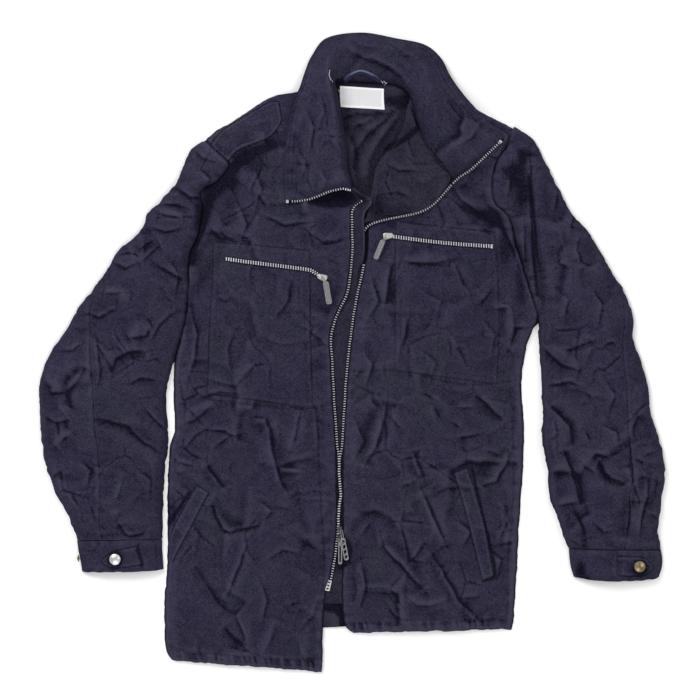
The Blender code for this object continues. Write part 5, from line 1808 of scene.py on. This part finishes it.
def plate(name, outlines, depth, place, heading, finish, body, tilt=0.0, bevel=0.2):
    """A flat piece with holes: the first outline is its edge, the others are holes."""
    flat = bpy.data.curves.new(name, "CURVE")
    flat.dimensions = "2D"
    flat.fill_mode = "BOTH"
    flat.extrude = (depth / 2 - bevel) * MM
    flat.bevel_depth = bevel * MM
    flat.bevel_resolution = 2
    for outline in outlines:
        spline = flat.splines.new("POLY")
        spline.points.add(len(outline) - 1)
        for point, (x, y) in zip(spline.points, outline):
            point.co = (x * MM, y * MM, 0, 1)
        spline.use_cyclic_u = True
    made = add_to_scene(name + "_outline", flat)
    graph = bpy.context.evaluated_depsgraph_get()
    mesh = bpy.data.meshes.new_from_object(made.evaluated_get(graph))
    bpy.data.objects.remove(made, do_unlink=True)
    mesh.name = name
    mesh.materials.clear()
    mesh.materials.append(finish)
    item = add_to_scene(name, mesh)
    item.location = Vector(place) * MM
    item.rotation_euler = (tilt, 0, heading)
    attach(item, body)
    return item


def middle_of(node):
    """The middle of a solid's box, and its lowest and highest corners, in millimetres."""
    low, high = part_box(node)
    return (np.array(low) + np.array(high)) / 2 / MM, np.array(low) / MM, np.array(high) / MM


# %% Sliders and pulls
def slider(name, place, under, height, heading, pull_heading, bar, finish, size):
    """Two plates with rounded shoulders, a wedge between them and a bridge for the pull."""
    shield = [(-2.0, -5.4), (2.0, -5.4), (2.5, -4.8), (3.6, 1.6), (3.6, 3.9), (3.0, 5.0), (1.4, 5.5),
              (-1.4, 5.5), (-3.0, 5.0), (-3.6, 3.9), (-3.6, 1.6), (-2.5, -4.8)]
    shield = [(x * size, y * size) for x, y in shield]
    plates = 1.1
    for part, level in (("lower", plates / 2), ("upper", height - plates / 2)):
        item = plate(f"{name}_{part}_plate", [shield], plates, (*place, under + level), heading, finish,
                     "jacket", bevel=0.3)
        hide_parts(name)
    wedge = [(-0.9, 5.0), (0, 0.5), (0.9, 5.0), (0, 5.6)]
    core = plate(name + "_wedge", [wedge], height - 1.0, (*place, under + height / 2), heading, finish,
                 "jacket", bevel=0.1)
    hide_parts(name)
    bridge = [(-2.3, 0), (-2.3, 1.6), (-1.6, 2.7), (1.6, 2.7), (2.3, 1.6), (2.3, 0), (1.3, 0),
              (1.3, 1.3), (1.0, 1.75), (-1.0, 1.75), (-1.3, 1.3), (-1.3, 0)]
    arch = plate(name + "_bridge", [bridge], 1.9, (bar[0], bar[1], under + height - 0.3),
                 pull_heading + math.pi / 2, finish, "jacket", tilt=math.pi / 2, bevel=0.25)
    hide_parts(name)


def pull(name, bar, heading, start, length, width, aside, slots, slant=0.0, floor=False):
    """A flat bar with slots along it, which can have a floor, and the link from it to the bridge."""
    edge = [(x + aside, y - start - length / 2) for x, y in rounded(width, length, min(width * 0.42, 2.4))]
    holes = []
    for near, far, slot_width in slots:
        hole = rounded(slot_width, far - near, slot_width * 0.45)
        holes.append([(x + aside, y - start - (near + far) / 2 + slant * x) for x, y in hole])
    item = plate(name + "_metal", [edge, *holes], 1.3, bar, heading, GUNMETAL, name, bevel=0.25)
    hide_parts(name)
    if floor:       # a sunk field inside the raised rim
        web = plate(name + "_field", holes, 0.7, bar, heading, GUNMETAL, name, bevel=0.05)
        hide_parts(name)
    reach = math.hypot(aside, start + 1.5)
    ring = [[(x, y - middle) for x, y in rounded(across, long, 0.45 * across)]
            for across, long, middle in ((3.4, reach + 2.2, reach / 2 + 0.6),
                                         (1.8, reach - 0.2, reach / 2 + 0.9))]
    link = plate(name + "_link", ring, 1.0, bar, heading + math.atan2(aside, start + 1.5), GUNMETAL, name)
    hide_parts(name)


BARS = {joint["child"]: joint["pos_m"] for joint in frame["record"]["behaviour"]["joints"]}
HEADINGS = {"pull_chest_right": 0.17, "pull_chest_left": -0.385, "pull_main_upper": 0.18,
            "pull_main_lower": 0.0}
SHAPES = {      # how far from the bar it starts, length, width, how far aside, slots
    "pull_chest_right": (8.2, 31.5, 7.6, 5.6, [(4.2, 29.2, 5.0)]),
    "pull_chest_left": (7.8, 28.0, 6.6, -3.4, [(4.0, 25.8, 4.2)]),
    "pull_main_upper": (11.5, 31.0, 6.2, 0.0, [(2.2, 7.8, 4.0), (9.4, 15.0, 4.0), (16.6, 22.2, 4.0),
                                               (23.8, 29.2, 3.7)]),
    "pull_main_lower": (5.0, 30.0, 5.2, 2.4, [(4.5, 27.6, 2.6)]),
}
SLIDERS = {     # where each slider lies, and how it is turned
    "slider_chest_right": ((-40.6, 105.8), -1.9),
    "slider_chest_left": ((50.8, 163.8), 1.7),
    "slider_main_upper": ((-16.6, -246.0), 0.0),
    "slider_main_lower": ((-16.8, -258.5), math.pi),
}
for name, place_m in BARS.items():
    bar = [value / MM for value in place_m]
    chest = "chest" in name
    slant = 0.5 if name == "pull_main_upper" else 0.0       # this one is cast as an open ladder
    pull(name, bar, HEADINGS[name], *SHAPES[name], slant, chest)
    slider_name = name.replace("pull", "slider")
    place, heading = SLIDERS[slider_name]
    slider(slider_name, place, middle_of(slider_name)[1][2], 3.0 if chest else 4.6, heading,
           HEADINGS[name], bar, NICKEL if chest else BLACKENED, 1.15 if chest else 0.85)
print("pulls on", ", ".join(BARS))

# %% The end pin
rungs = [[(x - 0.2, y + level) for x, y in rounded(3.4, 3.0, 0.4)] for level in (-4.5, 0.0, 4.5)]
pin = plate("zip_end_pin_metal", [rounded(6.0, 14.6, 0.9), *rungs], 2.2,
            middle_of("zip_end_pin")[0], -0.22, NICKEL, "jacket", bevel=0.3)
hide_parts("zip_end_pin")

# %% [markdown]
# ## Snaps
# A snap's cap is a pressed dome with a rolled rim, so its profile is turned round an axis, as
# the press forms it. One cap is bright nickel and the other has aged to brass.

# %% Turn a profile round an axis
def revolved(name, profile, place, finish, turn=(0, 0, 0), steps=40):
    """A piece whose profile of (radius, height) goes round an axis, at a place."""
    corners, faces = [], []
    for angle in np.linspace(0, 2 * math.pi, steps, endpoint=False):
        corners += [(r * math.cos(angle), r * math.sin(angle), z) for r, z in profile]
    count = len(profile)
    for step in range(steps):
        for ring in range(count - 1):
            here, beyond = step * count + ring, (step + 1) % steps * count + ring
            faces.append((here, beyond, beyond + 1, here + 1))
    item = new_piece(name, corners, faces, finish)
    item.location = Vector(place) * MM
    item.rotation_euler = turn
    return item


CAP = [(0.01, 3.0), (2.0, 2.85), (3.6, 2.5), (4.9, 2.0), (5.7, 1.6), (6.1, 1.4), (6.5, 1.6), (7.1, 1.75),
       (7.6, 1.45), (7.8, 0.9), (7.6, 0.35), (6.8, 0.0), (0.01, 0.0)]
for name, finish in (("snap_right", NICKEL), ("snap_left", BRASS)):
    middle, low, high = middle_of(name)
    cap = revolved(name + "_cap", CAP, (middle[0], middle[1], low[2]), finish)
    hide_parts(name)
middle, low, high = middle_of("snap_stud_right")
STUD = [(0.01, 2.3), (1.6, 2.3), (2.2, 1.7), (2.4, 1.0), (3.4, 0.9), (4.6, 0.7), (4.8, 0.3), (4.6, 0.0),
        (0.01, 0.0)]
stud = revolved("snap_stud_right_cap", STUD, (high[0], middle[1], middle[2]), BRASS,
                (0, -math.pi / 2, 0))
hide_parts("snap_stud_right")

# %% [markdown]
# ## Label and hanger loop
# The label is a bare white woven tape sewn inside the back of the neck, and the loop is a
# shiny blue-grey tape with a few white tacks at its ends.

# %% Label and loop
LABEL = table(STRIP, """
-16 374 45 370
-16 360 45 356
-15 345 46 341
""")
LOOP = table(STRIP, """
-12 383 -9 378
-1 390 2 384.5
13 394.5 13 388.5
28 390 25 384.5
42 382 39 377
""")


def make_label():
    """The label's sheet, and the line that it is sewn on with."""
    fine = fine_rows(LABEL, ("left", "right"), 1.2)
    left, right = points(fine, "left"), points(fine, "right")
    grid = span(left, right, even(61, 1.2))
    bed = blurred(ground(search([back]), grid), 2)
    x, y = grid[..., 0], grid[..., 1]
    grid[..., 2] = bed + 0.9 + 0.25 * facets(x, y, 16, 70) + 0.12 * facets(x, y, 7, 71)
    across, down = np.arange(grid.shape[1]), np.arange(grid.shape[0])[:, None]
    rim = np.minimum(np.minimum(across, across[::-1]), np.minimum(down, down[::-1]))
    wear_and_shade = np.where(rim < 3, 0.95, 0.5)
    item = sheet("label_cloth", grid, WHITE, "left right top bottom", thick=0.5, wear_and_shade=wear_and_shade)
    edge = 2
    line = np.vstack([grid[edge, edge:-edge, :2], grid[edge:-edge, -edge, :2],
                      grid[-edge, -edge:edge:-1, :2], grid[-edge:edge:-1, edge, :2]])
    return item, line


def make_loop():
    """A narrow tape in an arch, with a painted highlight along its upper edge."""
    fine = fine_rows(LOOP, ("left", "right"), 1.2)
    left, right = points(fine, "left"), points(fine, "right")
    grid = span(left, right, even(6.5, 1.0))
    bed = ground(search([back, collar]), grid)
    arch = np.sin(math.pi * np.linspace(0, 1, len(grid)))[:, None] ** 0.7
    over = np.linspace(-1, 1, grid.shape[1])[None]
    grid[..., 2] = blurred(bed, 2) + 0.7 + 1.6 * arch + 0.25 * (1 - over ** 2)
    # Painted highlight: the upper edge gets the satin's pale colour, most at the top of the arch.
    upper = grid[..., 1] - grid[..., 1].min(axis=1)[:, None] > 3.6
    wear_and_shade = np.where(upper, 0.25 + 0.85 * arch, 0.2)
    sheet("hanger_loop_cloth", grid, SATIN, "left right", thick=0.5, wear_and_shade=wear_and_shade)


label, label_line = make_label()
make_loop()

# %% [markdown]
# ## Thread
# Every seam is topstitched. A stitch is a short arched length of thread that dips into the
# cloth at both ends. One is modelled, and copies are laid along all the sewn lines on the cloth
# found below them, joined in one mesh to keep the file light.

# %% One stitch, laid along every line
def stitch_shape(length, thick, stretches=4, sides=5):
    """A short arched tube with its ends in the cloth."""
    corners, faces = [], []
    for step in range(stretches + 1):
        share = step / stretches
        rise = thick * (0.95 * math.sin(math.pi * share) - 0.35)
        radius = thick / 2 * (0.55 + 0.45 * math.sin(math.pi * share))
        for side in range(sides):
            angle = 2 * math.pi * side / sides
            corners.append(((share - 0.5) * length, radius * math.cos(angle),
                            rise + radius * math.sin(angle)))
    for step in range(stretches):
        for side in range(sides):
            here, after = step * sides + side, step * sides + (side + 1) % sides
            faces.append((here, after, after + sides, here + sides))
    return np.array(corners), faces


def lay_thread(name, lines, finish, below, pitch=3.3, length=2.7, thick=0.62):
    """Stitches along lines drawn on the plane, laid on the pieces below."""
    tree = search(below)
    places, ways, ups = [], [], []
    for line in lines:
        flat = np.column_stack([line, np.zeros(len(line))])
        at, way = stations(flat, pitch)
        for (x, y, _), direction in zip(at, way):
            hit, normal = tree.ray_cast(Vector((x * MM, y * MM, 0.5)), DOWN)[:2]
            if hit and normal and abs(normal.z) > 0.35:
                normal = normal if normal.z > 0 else -normal
                slope = Vector(direction) - normal * Vector(direction).dot(normal)
                places.append(np.array(hit) / MM)
                ways.append(slope)
                ups.append(normal)
    item = set_along(name, stitch_shape(length, thick), places, ways, finish, ups)
    item.data.shade_smooth()
    corners = np.zeros(3 * len(item.data.vertices), np.float32)
    item.data.vertices.foreach_get("co", corners)
    mark(item, corners, np.full(len(item.data.vertices), 0.6))
    print(f"{name}: {len(places)} stitches")


cloths = list(SHEETS.values())
lay_thread("seam_thread", THREAD_LINES, THREAD, cloths)
lay_thread("cuff_thread", CUFF_LINES, THREAD, cloths, pitch=2.9, length=2.3)
lay_thread("label_thread", [label_line], WHITE, [label], pitch=2.6, length=2.0, thick=0.4)
tacks = [curve(path, 1.0) for path in (
    [(-30, 393), (-31, 386), (-28.5, 379), (-22.5, 374.5)], [(-19, 369), (-16.5, 366)],
    [(41, 381), (44.5, 377)], [(44.8, 380.5), (48.5, 376.5)], [(49.5, 378.5), (45.5, 374.5)])]
lay_thread("loop_thread", tacks, WHITE, cloths, pitch=2.6, length=2.9, thick=0.8)

# %% [markdown]
# ## Cut sizes
# Every sheet of cloth is listed with the size that it was cut to, as far as it shows, and the
# script prints the ratio of the modelled cloth's area to that flat size, for stretch or shrink.

CUTS = {        # width and length of the cut in metres, its area, and what it lies on
    "back_cloth": (0.54, 0.80, 0.350, "floor"),
    "front_right_cloth": (0.29, 0.83, 0.182, "back_cloth"),
    "front_left_cloth": (0.285, 0.76, 0.175, "back_cloth"),
    "sleeve_under_right_cloth": (0.28, 0.57, 0.094, "floor"),
    "sleeve_under_left_cloth": (0.26, 0.60, 0.087, "floor"),
    "sleeve_top_right_cloth": (0.20, 0.57, 0.060, "sleeve_under_right_cloth"),
    "sleeve_top_left_cloth": (0.21, 0.60, 0.069, "sleeve_under_left_cloth"),
    "cuff_right_cloth": (0.245, 0.060, None, "floor"),
    "cuff_left_cloth": (0.262, 0.055, None, "floor"),
    "cuff_tab_right_cloth": (0.047, 0.026, None, "cuff_right_cloth"),
    "cuff_tab_left_cloth": (0.051, 0.026, None, "cuff_left_cloth"),
    "chest_pocket_right_cloth": (0.148, 0.210, None, "front_right_cloth"),
    "chest_pocket_left_cloth": (0.144, 0.210, None, "front_left_cloth"),
    "welt_right_cloth": (0.022, 0.115, 0.0020, "front_right_cloth"),
    "welt_left_cloth": (0.022, 0.160, None, "front_left_cloth"),
    "epaulette_right_cloth": (0.045, 0.130, 0.0042, "front_right_cloth"),
    "epaulette_left_cloth": (0.040, 0.074, None, "front_left_cloth"),
    "lapel_left_cloth": (0.120, 0.170, 0.0120, "front_left_cloth"),
    "collar_cloth": (0.115, 0.450, 0.0430, "front_right_cloth"),
    "zip_fly_cloth": (0.040, 0.590, 0.0215, "front_right_cloth"),
    "zip_right_front_tape": (0.012, 0.540, None, "front_right_cloth"),
    "zip_left_front_tape": (0.012, 0.450, None, "front_left_cloth"),
    "zip_right_collar_tape": (0.012, 0.092, None, "collar_cloth"),
    "zip_left_collar_tape": (0.012, 0.098, None, "collar_cloth"),
    "zip_left_lapel_tape": (0.012, 0.150, None, "lapel_left_cloth"),
    "chest_zip_right_tape": (0.010, 0.130, 0.00104, "chest_pocket_right_cloth"),
    "chest_zip_left_tape": (0.010, 0.142, 0.00108, "chest_pocket_left_cloth"),
    "label_cloth": (0.068, 0.038, None, "back_cloth"),
    "hanger_loop_cloth": (0.0125, 0.061, None, "back_cloth"),
}
for name, (width, length, area, below) in CUTS.items():
    item = SHEETS[name]
    whole = sum(face.area for face in item.data.polygons)
    print(f"{name}: {whole / (area or width * length):.2f} of its flat area")
assert set(CUTS) == set(SHEETS)

# %% [markdown]
# ## Floor, light and camera
# The photograph was taken from straight above on white, in broad soft light. A large lamp high
# up at the collar's left gives the creases their shade, two others fill, and a pale world
# evens it out. The camera hangs where its lens sees 980 mm across the floor.

# %% Floor
def make_floor():
    """A white floor with a faint grain."""
    mesh = bpy.data.meshes.new("floor")
    mesh.from_pydata([(-6, -6, 0), (6, -6, 0), (6, 6, 0), (-6, 6, 0)], [], [(0, 1, 2, 3)])
    item = add_to_scene("floor", mesh)
    made, tree, shader = new_finish("pale_floor")
    place = put(tree, "ShaderNodeTexCoord").outputs["Object"]
    grain = put(tree, "ShaderNodeTexNoise", {"Vector": place, "Scale": 300, "Detail": 3}).outputs[0]
    tone = blend_colours(tree, grain, (0.86, 0.86, 0.86, 1), (0.90, 0.90, 0.90, 1))
    tree.links.new(tone, shader.inputs["Base Color"])
    shader.inputs["Roughness"].default_value = 0.9
    mesh.materials.append(made)
    item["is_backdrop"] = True


make_floor()


# %% Lamps and world
def lamp(name, place, size, power):
    """A round lamp of this size in metres that shines on the middle of the jacket."""
    data = bpy.data.lights.new(name, "AREA")
    data.shape, data.size, data.energy = "DISK", size, power
    item = add_to_scene(name, data)
    item.location = place
    item.rotation_euler = (-Vector(place)).to_track_quat("-Z", "Y").to_euler()


lamp("key", (-1.6, 1.9, 1.7), 1.3, 62)
lamp("fill_right", (2.2, 0.6, 1.9), 1.8, 26)
lamp("fill_low", (-0.3, -2.2, 1.9), 1.8, 30)
world = bpy.data.worlds.new("studio")
world.use_nodes = True
world.node_tree.nodes["Background"].inputs[0].default_value = (1, 1, 1, 1)
world.node_tree.nodes["Background"].inputs[1].default_value = 0.5
bpy.context.scene.world = world
bpy.context.scene.view_settings.view_transform = "Standard"

# %% Camera
VIEW_WIDTH = 980            # millimetres of floor across the picture
VIEW_MIDDLE = (-2.1, 4.9)   # the place at the picture's middle


def make_camera():
    """Straight down, with a long lens as for a flat lay."""
    data = bpy.data.cameras.new("camera")
    data.sensor_width, data.lens = 36.0, 85.0
    item = add_to_scene("camera", data)
    item.location = (*(value * MM for value in VIEW_MIDDLE), VIEW_WIDTH * MM * data.lens / data.sensor_width)
    bpy.context.scene.camera = item


make_camera()

# %% Print the size of the dressed jacket
low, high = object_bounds()
print("dressed from", [round(v, 4) for v in low], "to", [round(v, 4) for v in high])
